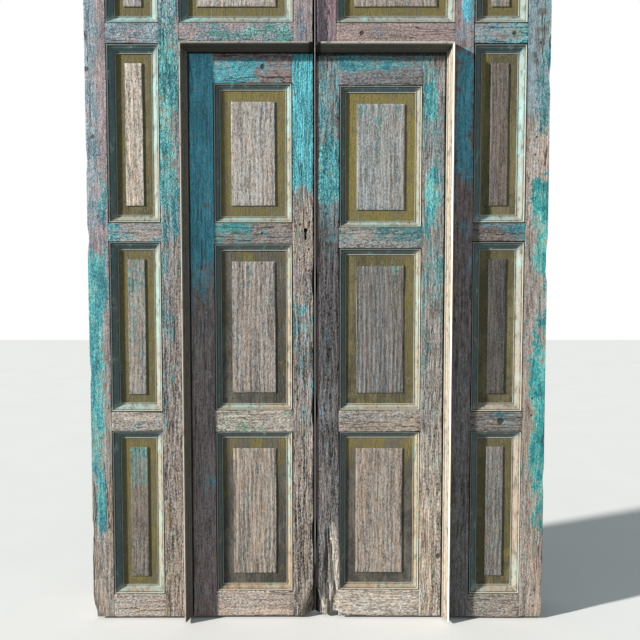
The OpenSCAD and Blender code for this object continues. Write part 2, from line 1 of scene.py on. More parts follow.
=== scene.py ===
# A pair of gate leaves with a wicket door in each, framed and panelled in wood.
# The paint is turquoise, pink and cream, and has mostly worn off grey timber.
import math
import random
import bmesh
import bpy
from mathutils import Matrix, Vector


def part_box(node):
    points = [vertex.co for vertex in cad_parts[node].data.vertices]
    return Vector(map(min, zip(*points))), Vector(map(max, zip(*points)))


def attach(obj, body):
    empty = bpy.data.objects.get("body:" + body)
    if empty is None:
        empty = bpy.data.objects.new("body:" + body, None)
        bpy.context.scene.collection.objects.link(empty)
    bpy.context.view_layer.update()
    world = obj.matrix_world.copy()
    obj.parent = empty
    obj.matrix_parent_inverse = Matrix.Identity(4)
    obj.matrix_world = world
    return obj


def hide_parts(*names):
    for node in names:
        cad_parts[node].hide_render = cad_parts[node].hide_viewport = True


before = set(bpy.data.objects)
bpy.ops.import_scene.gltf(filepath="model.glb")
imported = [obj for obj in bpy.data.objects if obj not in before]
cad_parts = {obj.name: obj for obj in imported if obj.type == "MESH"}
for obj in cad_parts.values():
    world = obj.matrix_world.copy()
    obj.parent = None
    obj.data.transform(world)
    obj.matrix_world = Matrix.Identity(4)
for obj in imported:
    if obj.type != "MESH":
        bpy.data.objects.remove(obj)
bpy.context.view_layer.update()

# ---- Studio ----
# The doors stand on a pale floor and are seen straight on, from chest height.
# A low key light from the upper left rakes over the wood, as late sun does.


class Value:
    """A shader socket. Arithmetic on it adds Math nodes."""

    def __init__(self, graph, socket):
        self.graph = graph
        self.socket = socket

    def math(self, operation, *values):
        return self.graph.add("ShaderNodeMath", {"operation": operation}, dict(enumerate(values)))

    def __add__(self, other):
        return self.math("ADD", self, other)

    def __sub__(self, other):
        return self.math("SUBTRACT", self, other)

    def __rsub__(self, other):
        return self.math("SUBTRACT", other, self)

    def __mul__(self, other):
        return self.math("MULTIPLY", self, other)

    def __truediv__(self, other):
        return self.math("DIVIDE", self, other)

    def __pow__(self, other):
        return self.math("POWER", self, other)

    def __abs__(self):
        return self.math("ABSOLUTE", self)

    __radd__ = __add__
    __rmul__ = __mul__


class Graph:
    """The nodes of one material, or of the world."""

    def __init__(self, tree):
        self.tree = tree
        tree.nodes.clear()

    def add(self, kind, settings=None, inputs=None, output=0):
        node = self.tree.nodes.new(kind)
        for name, value in (settings or {}).items():
            setattr(node, name, value)
        for name, value in (inputs or {}).items():
            socket = node.inputs[name]
            if isinstance(value, Value):
                self.tree.links.new(value.socket, socket)
            elif socket.type == "RGBA" and len(value) == 3:
                socket.default_value = (*value, 1)
            else:
                socket.default_value = value
        return Value(self, node.outputs[output]) if node.outputs else None

    def ramp(self, value, stops):
        """A colour ramp through stops of (place, colour or number)."""
        result = self.add("ShaderNodeValToRGB", None, {"Fac": value})
        elements = result.socket.node.color_ramp.elements
        while len(elements) < len(stops):
            elements.new(1)
        for element, (place, colour) in zip(elements, stops):
            element.position = min(max(place, 0), 1)
            element.color = (*colour, 1) if isinstance(colour, tuple) else (colour, colour, colour, 1)
        return result

    def mix(self, amount, first, second):
        settings = {"data_type": "RGBA", "blend_type": "MIX"}
        return self.add("ShaderNodeMix", settings, {0: amount, 6: first, 7: second}, 2)

    def step(self, value, low, high):
        """Rises smoothly from 0 at low to 1 at high."""
        return self.add("ShaderNodeMapRange", {"interpolation_type": "SMOOTHSTEP"},
                        {0: value, 1: low, 2: high})

    def vector(self, operation, *values):
        return self.add("ShaderNodeVectorMath", {"operation": operation}, dict(enumerate(values)))

    def shade(self, colour, factor):
        return self.vector("MULTIPLY", colour, self.add("ShaderNodeCombineXYZ", None,
                                                        {0: factor, 1: factor, 2: factor}))

    def noise(self, place, scale, detail=3, roughness=0.5, output=0):
        """Noise with its own number of waves a metre along each axis."""
        spread = self.vector("MULTIPLY", place, scale)
        values = {"Vector": spread, "Scale": 1, "Detail": detail, "Roughness": roughness}
        return self.add("ShaderNodeTexNoise", None, values, output)

    def place(self):
        return self.add("ShaderNodeTexCoord", output="Object")

    def surface(self, values):
        shader = self.add("ShaderNodeBsdfPrincipled", None, values)
        self.add("ShaderNodeOutputMaterial", None, {"Surface": shader})

    def bump(self, height, distance):
        return self.add("ShaderNodeBump", None, {"Distance": distance, "Height": height})


def new_material(name):
    material = bpy.data.materials.new(name)
    material.use_nodes = True
    return material, Graph(material.node_tree)


scene = bpy.context.scene
scene.view_settings.view_transform = "Standard"

leaf_low, leaf_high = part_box("gate_left_outer_stile")
GATE_FACE = leaf_low.y
GATE_BACK = leaf_high.y
FOOT = leaf_low.z

EYE_DISTANCE = 2.4
EYE_HEIGHT = 1.197
EYE_OFFSET = 0.008
EYE_PITCH = 3.1
bpy.ops.object.camera_add(location=(EYE_OFFSET, GATE_FACE - EYE_DISTANCE, FOOT + EYE_HEIGHT),
                          rotation=(math.radians(90 - EYE_PITCH), 0, 0))
camera = bpy.context.active_object
camera.data.lens = 38.6
scene.camera = camera

KEY_DIRECTION = Vector((2.4, 1, -1.05))
bpy.ops.object.light_add(type="SUN", rotation=(-KEY_DIRECTION).to_track_quat("Z", "Y").to_euler())
key = bpy.context.active_object
key.data.energy = 6.6
key.data.angle = math.radians(2.5)
key.data.color = (1, 0.97, 0.93)

scene.world = bpy.data.worlds.new("studio")
scene.world.use_nodes = True
sky = Graph(scene.world.node_tree)
seen = sky.add("ShaderNodeLightPath", output="Is Camera Ray")
fill = sky.add("ShaderNodeBackground", None, {"Color": (0.84, 0.96, 1), "Strength": 0.38})
blank = sky.add("ShaderNodeBackground", None, {"Color": (1, 1, 1), "Strength": 1})
around = sky.add("ShaderNodeMixShader", None, {0: seen, 1: fill, 2: blank})
sky.add("ShaderNodeOutputWorld", None, {"Surface": around})

bpy.ops.mesh.primitive_plane_add(size=24)
floor = bpy.context.active_object
floor.name = "floor"
floor_paint, graph = new_material("floor")
cloud = graph.noise(graph.place(), (3, 3, 3), 4)
pale = graph.mix(cloud, (0.72, 0.72, 0.71), (0.77, 0.77, 0.76))
seen = graph.add("ShaderNodeLightPath", output="Is Camera Ray")
graph.surface({"Base Color": graph.mix(seen, (0.28, 0.28, 0.28), pale), "Roughness": 0.9})
floor.data.materials.append(floor_paint)

# ---- Outer stiles of the gates ----
# Long softwood uprights at the outer edges, planed by hand and painted turquoise
# over pink. Sun and rain have raised the grain and eaten into the edges.

ARRIS = 0.0022
TENON_SHOULDER = 0.012
GRAIN_DEPTH = 0.0036
SEAM_DEPTH = 0.038
ACROSS_CELL = 0.0045
ALONG_CELL = 0.014


def pick(piece):
    bpy.ops.object.select_all(action="DESELECT")
    piece.select_set(True)
    bpy.context.view_layer.objects.active = piece


def block(name, middle, size):
    bpy.ops.object.select_all(action="DESELECT")
    bpy.ops.mesh.primitive_cube_add(size=1, location=middle, scale=size)
    piece = bpy.context.active_object
    piece.name = name
    bpy.ops.object.transform_apply(location=True, rotation=True, scale=True)
    return piece


def start_edit(piece):
    pick(piece)
    bpy.ops.object.mode_set(mode="EDIT")
    bpy.ops.mesh.select_mode(type="EDGE")


def select(piece, parts, wanted):
    """Selects the faces or edges for which wanted is true."""
    bpy.ops.mesh.select_mode(type="FACE" if parts == "faces" else "EDGE")
    bpy.ops.mesh.select_all(action="DESELECT")
    mesh = bmesh.from_edit_mesh(piece.data)
    mesh.normal_update()
    found = 0
    for part in getattr(mesh, parts):
        if wanted(part):
            part.select_set(True)
            found += 1
    bmesh.update_edit_mesh(piece.data)
    return found


def cut_lengths(piece, axis, spacing):
    """Halves the edges that run along an axis until none is much over the spacing."""
    def is_long(edge):
        run = edge.verts[1].co - edge.verts[0].co
        return abs(run[axis]) > 1.5 * spacing and abs(run[axis]) > 0.9 * run.length
    while select(piece, "edges", is_long):
        bpy.ops.mesh.subdivide(number_cuts=1)


def displace(piece, direction, strength, periods, seed, middle):
    """Moves the surface with clouds that have their own period along each axis."""
    bpy.ops.object.empty_add(location=(seed * 0.37, seed * 0.23, seed * 0.71), scale=periods)
    guide = bpy.context.active_object
    bpy.context.view_layer.update()
    texture = bpy.data.textures.new("weather", "CLOUDS")
    texture.noise_scale = 1
    texture.noise_depth = 2
    modifier = piece.modifiers.new("weather", "DISPLACE")
    modifier.texture = texture
    modifier.texture_coords = "OBJECT"
    modifier.texture_coords_object = guide
    modifier.direction = direction
    modifier.strength = strength
    modifier.mid_level = middle
    pick(piece)
    bpy.ops.object.modifier_apply(modifier=modifier.name)
    bpy.data.objects.remove(guide)


def weather(piece, along, seed, ridge=0.0024, wander=0.005, hollow=0.0022):
    """Wears the grain and the faces down, and lets the edges wander."""
    grain = [0.0065, 0.0065, 0.0065]
    bow = [0.05, 0.05, 0.05]
    grain[along] = 0.09
    bow[along] = 0.12
    displace(piece, "X" if along == 2 else "Z", wander, bow, seed, 0.5)
    displace(piece, "NORMAL", ridge, grain, seed + 5, 0.8)
    displace(piece, "NORMAL", hollow, (0.03, 0.03, 0.03), seed + 9, 0.8)


def keep_within(piece, low, high):
    """Wear never makes a board bigger than it was sawn."""
    for vertex in piece.data.vertices:
        for axis in range(3):
            vertex.co[axis] = min(max(vertex.co[axis], low[axis]), high[axis])


def dent(piece, centre, reach, move):
    """Pushes in what lies within reach of a point, most at the point."""
    centre = Vector(centre)
    for vertex in piece.data.vertices:
        away = vertex.co - centre
        share = sum((away[axis] / reach[axis]) ** 2 for axis in range(3))
        if share < 1:
            vertex.co += (1 - share) ** 2 * Vector(move)


def finish_mesh(piece, angle=40):
    pick(piece)
    bpy.ops.object.mode_set(mode="EDIT")
    bpy.ops.mesh.select_all(action="SELECT")
    bpy.ops.mesh.normals_make_consistent(inside=False)
    bpy.ops.object.mode_set(mode="OBJECT")
    bpy.ops.object.shade_smooth_by_angle(angle=math.radians(angle))


def plank(name, low, high, along, seed, tenon=0, shape=None, seam=None, foot_tenon=True, **wear):
    """A board between two corners, with its fibres along an axis (0 for X, 2 for Z).
    Behind the bevel of a seam, its edge stays true."""
    piece = block(name, (low + high) / 2, high - low)
    start_edit(piece)
    if shape:
        shape(piece)
    bpy.ops.mesh.select_mode(type="EDGE")
    bpy.ops.mesh.select_all(action="SELECT")
    bpy.ops.mesh.bevel(offset=ARRIS, segments=2, affect="EDGES")
    if tenon:
        select(piece, "faces", lambda face: face.normal[along] > 0.99 or
               foot_tenon and face.normal[along] < -0.99)
        bpy.ops.mesh.inset(thickness=TENON_SHOULDER, depth=0)
        bpy.ops.mesh.extrude_region_shrink_fatten(TRANSFORM_OT_shrink_fatten={"value": tenon})
    for axis in range(3):
        cut_lengths(piece, axis, ALONG_CELL if axis == along else ACROSS_CELL)
    bpy.ops.object.mode_set(mode="OBJECT")
    box = [Vector(corner) for corner in zip(*((min(side), max(side)) for side in zip(
        *(vertex.co for vertex in piece.data.vertices))))]
    true_edge = [vertex.index for vertex in piece.data.vertices if seam is not None and
                 abs(vertex.co.x - seam) < 1e-4 and vertex.co.y > GATE_FACE + SEAM_DEPTH - 1e-4]
    weather(piece, along, seed, **wear)
    keep_within(piece, *box)
    for index in true_edge:
        piece.data.vertices[index].co.x = seam
    return piece


def timber(name, low, high, along, bare, coats=(), seed=0, relief=1.0, knots=(), dirt=0.5,
           seam=None, seam_dirt_and_shade=0.0085, cracks=0.85, run_on=7, contrast=1.15):
    """Bare wood along an axis, under coats of worn paint.

    Distances run from the board's low end, and shares go across it. bare holds
    (distance, colour). A coat has two colours, its cover as (distance, amount),
    and if need be its cover across as (share, amount), patches as (distance,
    share, half length, half width as a share, amount), and a depth (y) that it
    lies behind, or in front of. knots hold (distance, share, radius), and seam is an X
    along which the wood is darkened, with dirt and painted shade.
    run_on is the number of grain waves in a metre of length."""
    material, g = new_material(name)
    place = g.place()
    shifted = g.vector("ADD", place, (seed * 1.31, seed * 0.77, seed * 2.13))
    bend = g.vector("SUBTRACT", g.noise(shifted, (7, 7, 7), 2, output=1), (0.5, 0.5, 0.5))
    fibre_place = g.vector("ADD", shifted, g.vector("MULTIPLY", bend, (0.02, 0.02, 0.02)))

    def streaks(across, lengthwise, detail=3, roughness=0.55):
        scale = [across] * 3
        scale[along] = lengthwise
        return g.noise(fibre_place, tuple(scale), detail, roughness)

    fibre = streaks(330, 34)
    ridge = streaks(135, run_on, 3, 0.62)
    band = streaks(26, 2, 2)
    patchy = streaks(17, 7, 3, 0.5)
    speck_scale = [230, 230, 230]
    speck_scale[along] = 110
    speck = g.noise(shifted, tuple(speck_scale), 2, 0.7)
    blotch = g.noise(shifted, (34, 34, 34), 4, 0.65)
    pit = 1 - g.step(g.noise(shifted, (290, 290, 290), 1), 0.30, 0.39)
    cell_scale = [125, 125, 125]
    cell_scale[along] = 62
    cell = g.add("ShaderNodeTexVoronoi", {"feature": "DISTANCE_TO_EDGE"}, {
        "Vector": g.vector("MULTIPLY", fibre_place, tuple(cell_scale)), "Scale": 1})
    crackle = 1 - g.step(cell, 0.02, 0.12)
    split = streaks(36, 0.9, 2)
    crack = (1 - g.step(abs(split - 0.5), 0.001, 0.010)) * g.step(band, 0.44, 0.54)

    size = high - low
    length = size[along]
    share = g.vector("DIVIDE", g.vector("SUBTRACT", place, tuple(low)), tuple(size))
    parts = [g.add("ShaderNodeSeparateXYZ", None, {0: share}, output) for output in range(3)]
    run = parts[along] + (blotch - 0.5) * (0.16 / length)
    side = parts[2 - along] + (ridge - 0.5) * 0.3

    shares = (0.34, 0.22, 0.34) if along == 2 else (0.24, 0.12, 0.54)
    tone = g.step(ridge * shares[0] + fibre * shares[1] + speck * shares[2] + band * 0.10, 0.37, 0.63)
    bright = (tone - 0.5) * (1.2 * contrast) + 1.02
    wood = g.ramp(run, [(at / length, colour) for at, colour in bare])
    surface = g.shade(wood, bright)
    warm = g.vector("MULTIPLY", surface, (1.07, 0.99, 0.93))
    cold = g.vector("MULTIPLY", surface, (0.95, 0.99, 1.03))
    surface = g.mix(g.step(blotch * 0.5 + band * 0.5, 0.42, 0.60), cold, warm)
    height = ridge * 0.62 + fibre * 0.2 + speck * 0.34
    flake = (ridge * 0.12 + speck * 0.20 + blotch * 0.28 + patchy * 0.40 - 0.5) * 4.2 + 0.5
    hue = g.step(blotch * 0.35 + speck * 0.2 + patchy * 0.45, 0.40, 0.60)
    covered = 0
    for coat in coats:
        cover = g.ramp(run, [(at / length, amount) for at, amount in coat["along"]]) * 1.0
        if "across" in coat:
            cover = cover * g.ramp(side, coat["across"])
        for at, middle, reach, width, amount in coat.get("patches", ()):
            near = ((run - at / length) * (length / reach)) ** 2 + ((side - middle) / width) ** 2
            cover = cover + (1 - g.step(near, 0.3, 1.4)) * amount
        amount = g.step(cover - flake, -0.26, 0.26) * coat.get("strength", 1)
        if "behind" in coat or "front" in coat:
            level = coat.get("behind", coat.get("front"))
            deep = g.step(g.add("ShaderNodeSeparateXYZ", None, {0: place}, 1), level - 0.001, level)
            amount = amount * (deep if "behind" in coat else 1 - deep)
        colour = g.ramp(hue, [(number / (len(coat["colours"]) - 1), colour)
                              for number, colour in enumerate(coat["colours"])])
        evenness = coat.get("even", 0.35)
        surface = g.mix(amount, surface, g.shade(colour, bright * (1 - evenness) + evenness))
        height = height + amount * 0.12
        covered = amount * (1 - evenness) + covered
    for at, middle, radius in knots:
        near = ((parts[along] - at / length) * (length / radius)) ** 2 + \
            ((parts[2 - along] - middle) * (size[2 - along] / radius)) ** 2
        dark = 1 - g.step(near + (blotch - 0.5) * 3, 0.2, 1.4)
        surface = g.mix(dark * 0.85, surface, (0.035, 0.024, 0.018))
        height = height - dark * 0.7
    if coats:
        worn = crackle * covered
        surface = g.mix(worn * 0.2, surface, (0.05, 0.045, 0.045))
        height = height - worn * 0.16
    surface = g.mix(pit * 0.35, surface, (0.045, 0.036, 0.03))
    height = height - pit * 0.4
    inside = g.step(g.add("ShaderNodeSeparateXYZ", None, {0: place}, 1), high.y - 0.007, high.y - 0.003)
    brown = g.shade(g.ramp(band, [(0.35, (0.12, 0.095, 0.075)), (0.65, (0.21, 0.17, 0.135))]), bright)
    surface = g.mix(inside * g.step(flake, 0.25, 0.75) * 0.9, surface, brown)
    grime = g.step(blotch * 0.4 + band * 0.3 + speck * 0.3, 0.47, 0.62) * dirt
    surface = g.mix(grime * (1 - tone * 0.5), surface, (0.055, 0.048, 0.045))
    surface = g.mix(crack * cracks, surface, (0.02, 0.016, 0.015))
    height = height - crack * cracks * 0.5
    # Dirt and painted shade in a band along the seam, where the gap between the leaves falls dark.
    if seam is not None:
        across = g.add("ShaderNodeSeparateXYZ", None, {0: place}, 0)
        near = 1 - g.step(abs(across - seam) + (blotch - 0.5) * 0.012, seam_dirt_and_shade * 0.75, seam_dirt_and_shade)
        surface = g.mix(near * 0.95, surface, (0.022, 0.014, 0.012))
    distance = GRAIN_DEPTH * relief * (1.6 if along == 0 else 1)
    g.surface({"Base Color": surface, "Roughness": 0.62 + (1 - tone) * 0.3,
               "Normal": g.bump(height, distance), "Specular IOR Level": 0.3})
    return material


def paint_over(piece, material):
    piece.data.materials.clear()
    piece.data.materials.append(material)


def fit(piece, body, slot, material, *nodes):
    """Gives a piece its finish, and puts it in place of the solids that it stands for."""
    finish_mesh(piece)
    paint_over(piece, material)
    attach(piece, body)
    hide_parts(*nodes)


GREY = (0.25, 0.235, 0.23)
MAUVE = (0.27, 0.22, 0.225)
BROWN = (0.24, 0.195, 0.165)
TAN = (0.37, 0.315, 0.265)
TURQUOISE = ((0.05, 0.23, 0.28), (0.10, 0.43, 0.46), (0.26, 0.60, 0.53))
WASHED = ((0.11, 0.22, 0.21), (0.17, 0.35, 0.32), (0.27, 0.45, 0.41))
PINK = ((0.26, 0.23, 0.26), (0.38, 0.31, 0.32), (0.50, 0.41, 0.41))
PALE_BLUE = ((0.22, 0.30, 0.35), (0.34, 0.45, 0.51), (0.50, 0.58, 0.64))

outer_stiles = {
    "left": {
        "bare": [(0, TAN), (0.7, (0.32, 0.28, 0.25)), (1.4, (0.34, 0.30, 0.31)), (2.2, (0.40, 0.33, 0.36))],
        "coats": [
            {"colours": PINK, "along": [(1.15, 0), (1.4, 0.6), (2.5, 0.8)]},
            {"colours": PALE_BLUE, "along": [(1.2, 0), (1.4, 0.55), (1.8, 0.8), (2.5, 0.9)],
             "across": [(0.36, 1), (0.72, 0.2)]},
            {"colours": TURQUOISE,
             "along": [(0.18, 0), (0.3, 0.32), (0.5, 0.4), (0.62, 0.8), (1.28, 0.86), (1.34, 0.2),
                       (1.7, 0.08)],
             "across": [(0.55, 1), (0.9, 0.35)],
             "patches": [(1.50, 0.75, 0.09, 0.28, 0.5), (0.42, 0.5, 0.12, 0.2, 0.5)]},
        ],
        "knots": [(1.93, 0.12, 0.009), (1.70, 0.35, 0.008)],
    },
    "right": {
        "bare": [(0, TAN), (0.7, (0.33, 0.28, 0.24)), (1.3, (0.36, 0.31, 0.28)), (1.5, (0.44, 0.39, 0.35)),
                 (1.75, (0.44, 0.39, 0.35)), (1.85, (0.15, 0.19, 0.20)), (2.2, (0.15, 0.19, 0.20))],
        "coats": [
            {"colours": PALE_BLUE, "along": [(1.72, 0), (1.8, 0.6), (2.5, 0.7)]},
            {"colours": PINK, "along": [(0.6, 0), (0.8, 0.35), (1.6, 0.45), (1.7, 0.1)],
             "across": [(0.2, 0.5), (0.7, 1)]},
            {"colours": ((0.03, 0.22, 0.24), (0.06, 0.40, 0.40), (0.18, 0.56, 0.49)),
             "along": [(0.12, 0), (0.26, 0.3), (0.45, 0.65), (0.9, 0.9), (1.0, 0.5), (1.2, 0.45),
                       (1.27, 0.85), (1.5, 0.85), (1.6, 0.12), (1.75, 0.35), (2.1, 0.45)],
             "across": [(0.15, 0.25), (0.5, 1)]},
        ],
        "knots": [(1.70, 0.45, 0.004), (2.02, 0.55, 0.004), (1.96, 0.42, 0.004), (1.64, 0.4, 0.004),
                  (0.79, 0.45, 0.004), (0.73, 0.42, 0.004), (0.04, 0.6, 0.004), (0.08, 0.5, 0.004)],
    },
}
bites = {
    "left": ((0.0, 0.012), (0.03, 0.006), (0.31, 0.004), (0.88, 0.004), (1.35, 0.006), (1.62, 0.004)),
    "right": ((0.0, 0.005), (0.10, 0.005), (0.50, 0.004), (1.24, 0.006), (1.30, 0.005), (1.90, 0.004)),
}
for seed, (hand, paint) in enumerate(outer_stiles.items(), 1):
    name = f"gate_{hand}_outer_stile"
    low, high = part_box(name)
    stile = plank(name + "_worn", low, high, 2, seed)
    outer = -1 if hand == "left" else 1
    edge = low.x if hand == "left" else high.x
    for height, bite in bites[hand]:
        dent(stile, (edge, GATE_FACE, FOOT + height), (0.03, 0.06, 0.05), (-outer * bite, 0, 0))
    fit(stile, f"gate_{hand}", "stile_paint", timber(name, low, high, 2, seed=seed, **paint), name)

# ---- Inner stiles of the gates ----
# The uprights between the side panels and the wickets, tenoned into the top
# rails. Most of their blue is left on the upper half, and the feet are dirty.

inner_stiles = {
    "left": {
        "relief": 2.0, "contrast": 1.7,
        "bare": [(0, (0.36, 0.30, 0.25)), (0.5, (0.30, 0.26, 0.23)), (1.3, GREY), (2.2, MAUVE)],
        "coats": [
            {"colours": PINK, "along": [(1.5, 0), (1.8, 0.3), (2.1, 0.6)]},
            {"colours": ((0.30, 0.21, 0.06), (0.38, 0.29, 0.12)),
             "along": [(0, 0.3), (0.35, 0.45), (0.5, 0)], "across": [(0.0, 0.6), (0.3, 0.8), (0.6, 0)]},
            {"colours": ((0.20, 0.36, 0.39), (0.36, 0.52, 0.55)),
             "along": [(1.2, 0), (1.4, 0.35), (1.6, 0.55), (2.2, 0.7)], "across": [(0.6, 1), (1, 0.4)]},
            {"colours": TURQUOISE,
             "along": [(0.5, 0), (0.7, 0.28), (1.2, 0.33), (1.45, 0.5), (1.6, 0.75), (2.0, 0.8),
                       (2.1, 0.3)],
             "across": [(0.6, 1), (1, 0.45)]},
        ],
    },
    "right": {
        "bare": [(0, (0.21, 0.205, 0.20)), (0.8, GREY), (1.5, MAUVE), (2.4, MAUVE)],
        "coats": [
            {"colours": PINK, "along": [(1.9, 0), (2.05, 0.5), (2.4, 0.6)]},
            {"colours": ((0.12, 0.40, 0.54), (0.16, 0.70, 0.86)),
             "along": [(0.9, 0), (1.2, 0.12), (1.5, 0.35), (1.6, 0.66), (1.95, 0.70), (2.0, 0.3)],
             "across": [(0, 0.45), (0.35, 1), (0.8, 1), (1, 0.6)],
             "patches": [(2.15, 0.6, 0.06, 0.3, 0.6)]},
        ],
        "dirt": 0.75,
    },
}
for seed, (hand, paint) in enumerate(inner_stiles.items(), 11):
    name = f"gate_{hand}_inner_stile"
    low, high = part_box(name)
    high.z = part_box(f"gate_{hand}_top_rail")[0].z
    stile = plank(name + "_worn", low, high, 2, seed, tenon=0.03, foot_tenon=False, ridge=0.0036)
    fit(stile, f"gate_{hand}", "stile_paint", timber(name, low, high, 2, seed=seed, **paint), name)

# ---- Meeting stiles of the gates ----
# Short uprights above the wickets. Their street sides are planed back from the
# seam, so the two gates pass each other as they open.


def bevel_seam(setback, lead):
    """Moves a board's front edge back from the seam. The seam side is at lead."""
    def shape(piece):
        face = min(vertex.co.y for vertex in bmesh.from_edit_mesh(piece.data).verts)
        bpy.ops.mesh.select_all(action="SELECT")
        bpy.ops.mesh.bisect(plane_co=(0, GATE_FACE + SEAM_DEPTH, 0), plane_no=(0, 1, 0))
        select(piece, "edges", lambda edge: all(
            abs(vertex.co.x - lead) < 1e-4 and abs(vertex.co.y - face) < 1e-4
            for vertex in edge.verts))
        away = math.copysign(setback, middle_x(piece) - lead)
        bpy.ops.transform.translate(value=(away, 0, 0))
    return shape


def middle_x(piece):
    places = [vertex.co.x for vertex in bmesh.from_edit_mesh(piece.data).verts]
    return sum(places) / len(places)


GATE_SEAM = 0.0065
meeting_stiles = {
    "left": {
        "bare": [(0, MAUVE), (0.5, GREY)],
        "coats": [{"colours": PINK, "along": [(0, 0.6), (0.5, 0.5)]},
                  {"colours": TURQUOISE, "along": [(0, 0.2), (0.1, 0.35), (0.5, 0.3)],
                   "across": [(0.3, 0.3), (1, 1)]}],
    },
    "right": {
        "bare": [(0, (0.24, 0.17, 0.20)), (0.5, (0.24, 0.18, 0.21))],
        "coats": [{"colours": PINK, "along": [(0, 0.3), (0.5, 0.3)]},
                  {"colours": ((0.07, 0.058, 0.075), (0.12, 0.09, 0.115)), "along": [(0, 1), (0.5, 1)],
                   "across": [(0.35, 1.1), (0.65, 0)]}],
    },
}
for seed, (hand, paint) in enumerate(meeting_stiles.items(), 21):
    name = f"gate_{hand}_meeting_stile"
    low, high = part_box(name)
    lead = high.x if hand == "left" else low.x
    stile = plank(name + "_worn", low, high, 2, seed, seam=lead, wander=0.003,
                  shape=bevel_seam(GATE_SEAM, lead))
    fit(stile, f"gate_{hand}", "stile_paint",
        timber(name, low, high, 2, seed=seed, seam=lead, **paint), name)

# ---- Rails beside the panels of the side columns ----
# Four short cross pieces in each gate, tenoned into the stiles at both ends. The
# bottom ones are bare, and the higher ones have kept more of their blue.

TUCK = 0.003


def join(first, others):
    bpy.ops.object.select_all(action="DESELECT")
    for piece in [first, *others]:
        piece.select_set(True)
    bpy.context.view_layer.objects.active = first
    bpy.ops.object.join()
    return first


def gap_between(first, second):
    """The X range between two upright boards, and a little under each."""
    boxes = [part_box(first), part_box(second)]
    return min(high.x for low, high in boxes) - TUCK, max(low.x for low, high in boxes) + TUCK


GROOVE = 0.009
TENON = 0.02
RAIL_SETBACK = 0.0008
side_rails = {
    "left": [
        {"bare": [(0, (0.47, 0.41, 0.355)), (0.2, (0.47, 0.41, 0.355))], "dirt": 0.25},
        {"bare": [(0, (0.43, 0.39, 0.35)), (0.2, (0.39, 0.36, 0.33))], "dirt": 0.3,
         "coats": [{"colours": TURQUOISE, "along": [(0, 0.25), (0.2, 0.1)]}]},
        {"bare": [(0, (0.35, 0.32, 0.30)), (0.2, (0.35, 0.32, 0.30))], "dirt": 0.25,
         "coats": [{"colours": PALE_BLUE, "along": [(0, 0.4), (0.2, 0.5)]},
                   {"colours": TURQUOISE, "along": [(0, 0.6), (0.05, 0.4), (0.12, 0.3), (0.2, 0.5)]}]},
        {"bare": [(0, MAUVE), (0.2, MAUVE)],
         "coats": [{"colours": PINK, "along": [(0, 0.3), (0.08, 0.8), (0.2, 0.4)]},
                   {"colours": PALE_BLUE, "along": [(0, 0.9), (0.06, 0.55), (0.1, 0.35), (0.18, 0.9)]}]},
    ],
    "right": [
        {"bare": [(0, (0.30, 0.27, 0.24)), (0.2, TAN)], "dirt": 0.5},
        {"bare": [(0, (0.22, 0.20, 0.19)), (0.2, (0.26, 0.24, 0.22))], "dirt": 0.6,
         "coats": [{"colours": TURQUOISE, "along": [(0.08, 0.0), (0.12, 0.35), (0.2, 0.2)]}],
         "knots": [(0.11, 0.5, 0.012)]},
        {"bare": [(0, (0.17, 0.14, 0.13)), (0.2, (0.20, 0.17, 0.16))],
         "coats": [{"colours": PINK, "along": [(0, 0.0), (0.2, 0.2)]},
                   {"colours": TURQUOISE, "along": [(0, 0.2), (0.14, 0.15), (0.2, 0.6)]}]},
        {"bare": [(0, GREY), (0.2, GREY)],
         "coats": [{"colours": PALE_BLUE, "along": [(0, 0.5), (0.2, 0.6)]},
                   {"colours": TURQUOISE, "along": [(0, 0.2), (0.08, 0.35), (0.2, 0.75)]}],
         "knots": [(0.14, 0.5, 0.008)]},
    ],
}
seed = 30
for hand, paints in side_rails.items():
    x0, x1 = gap_between(f"gate_{hand}_outer_stile", f"gate_{hand}_inner_stile")
    levels = [FOOT]
    for number in (1, 2, 3, 4):
        panel_low, panel_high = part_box(f"gate_{hand}_side_panel_{number}")
        levels += [panel_low.z + GROOVE, panel_high.z - GROOVE]
    rails = []
    for number, paint in enumerate(paints):
        seed += 1
        low = Vector((x0, GATE_FACE + RAIL_SETBACK, levels[2 * number]))
        high = Vector((x1, GATE_BACK, levels[2 * number + 1]))
        rail = plank(f"gate_{hand}_side_rails_worn", low, high, 0, seed, tenon=TENON)
        rail.data.materials.append(timber(f"gate_{hand}_side_rail_{number + 1}", low, high, 0,
                                          seed=seed, **paint))
        rails.append(rail)
    rail = join(rails[0], rails[1:])
    finish_mesh(rail)
    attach(rail, f"gate_{hand}")
    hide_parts(f"gate_{hand}_side_rails")

# ---- Header rails and top rails ----
# The headers cross the gates above the wickets, and the top rails close the
# leaves. Both are tenoned. The headers are pink with scraps of pale blue, and
# the left one has green as well.

headers = {
    "left": {"bare": [(0, (0.31, 0.27, 0.27)), (0.4, (0.31, 0.27, 0.27))], "dirt": 0.3,
             "coats": [{"colours": PINK, "along": [(0, 0.7), (0.4, 0.65)]},
                       {"colours": PALE_BLUE, "along": [(0, 0.3), (0.2, 0.45), (0.4, 0.4)]},
                       {"colours": ((0.12, 0.36, 0.32), (0.34, 0.52, 0.52)),
                        "along": [(0, 0.25), (0.1, 0.2), (0.2, 0.35), (0.3, 0.3), (0.4, 0.5)],
                        "patches": [(0.25, 0.6, 0.04, 0.3, 0.5), (0.36, 0.5, 0.03, 0.4, 0.5)]}]},
    "right": {"bare": [(0, (0.33, 0.26, 0.24)), (0.4, (0.31, 0.25, 0.25))],
              "dirt": 0.3,
              "coats": [{"colours": ((0.31, 0.235, 0.22), (0.42, 0.33, 0.31)),
                         "along": [(0, 0.65), (0.4, 0.6)]},
                        {"colours": PALE_BLUE, "along": [(0, 0.15), (0.3, 0.15), (0.4, 0.3)]}],
              "knots": [(0.09, 0.5, 0.009)]},
}
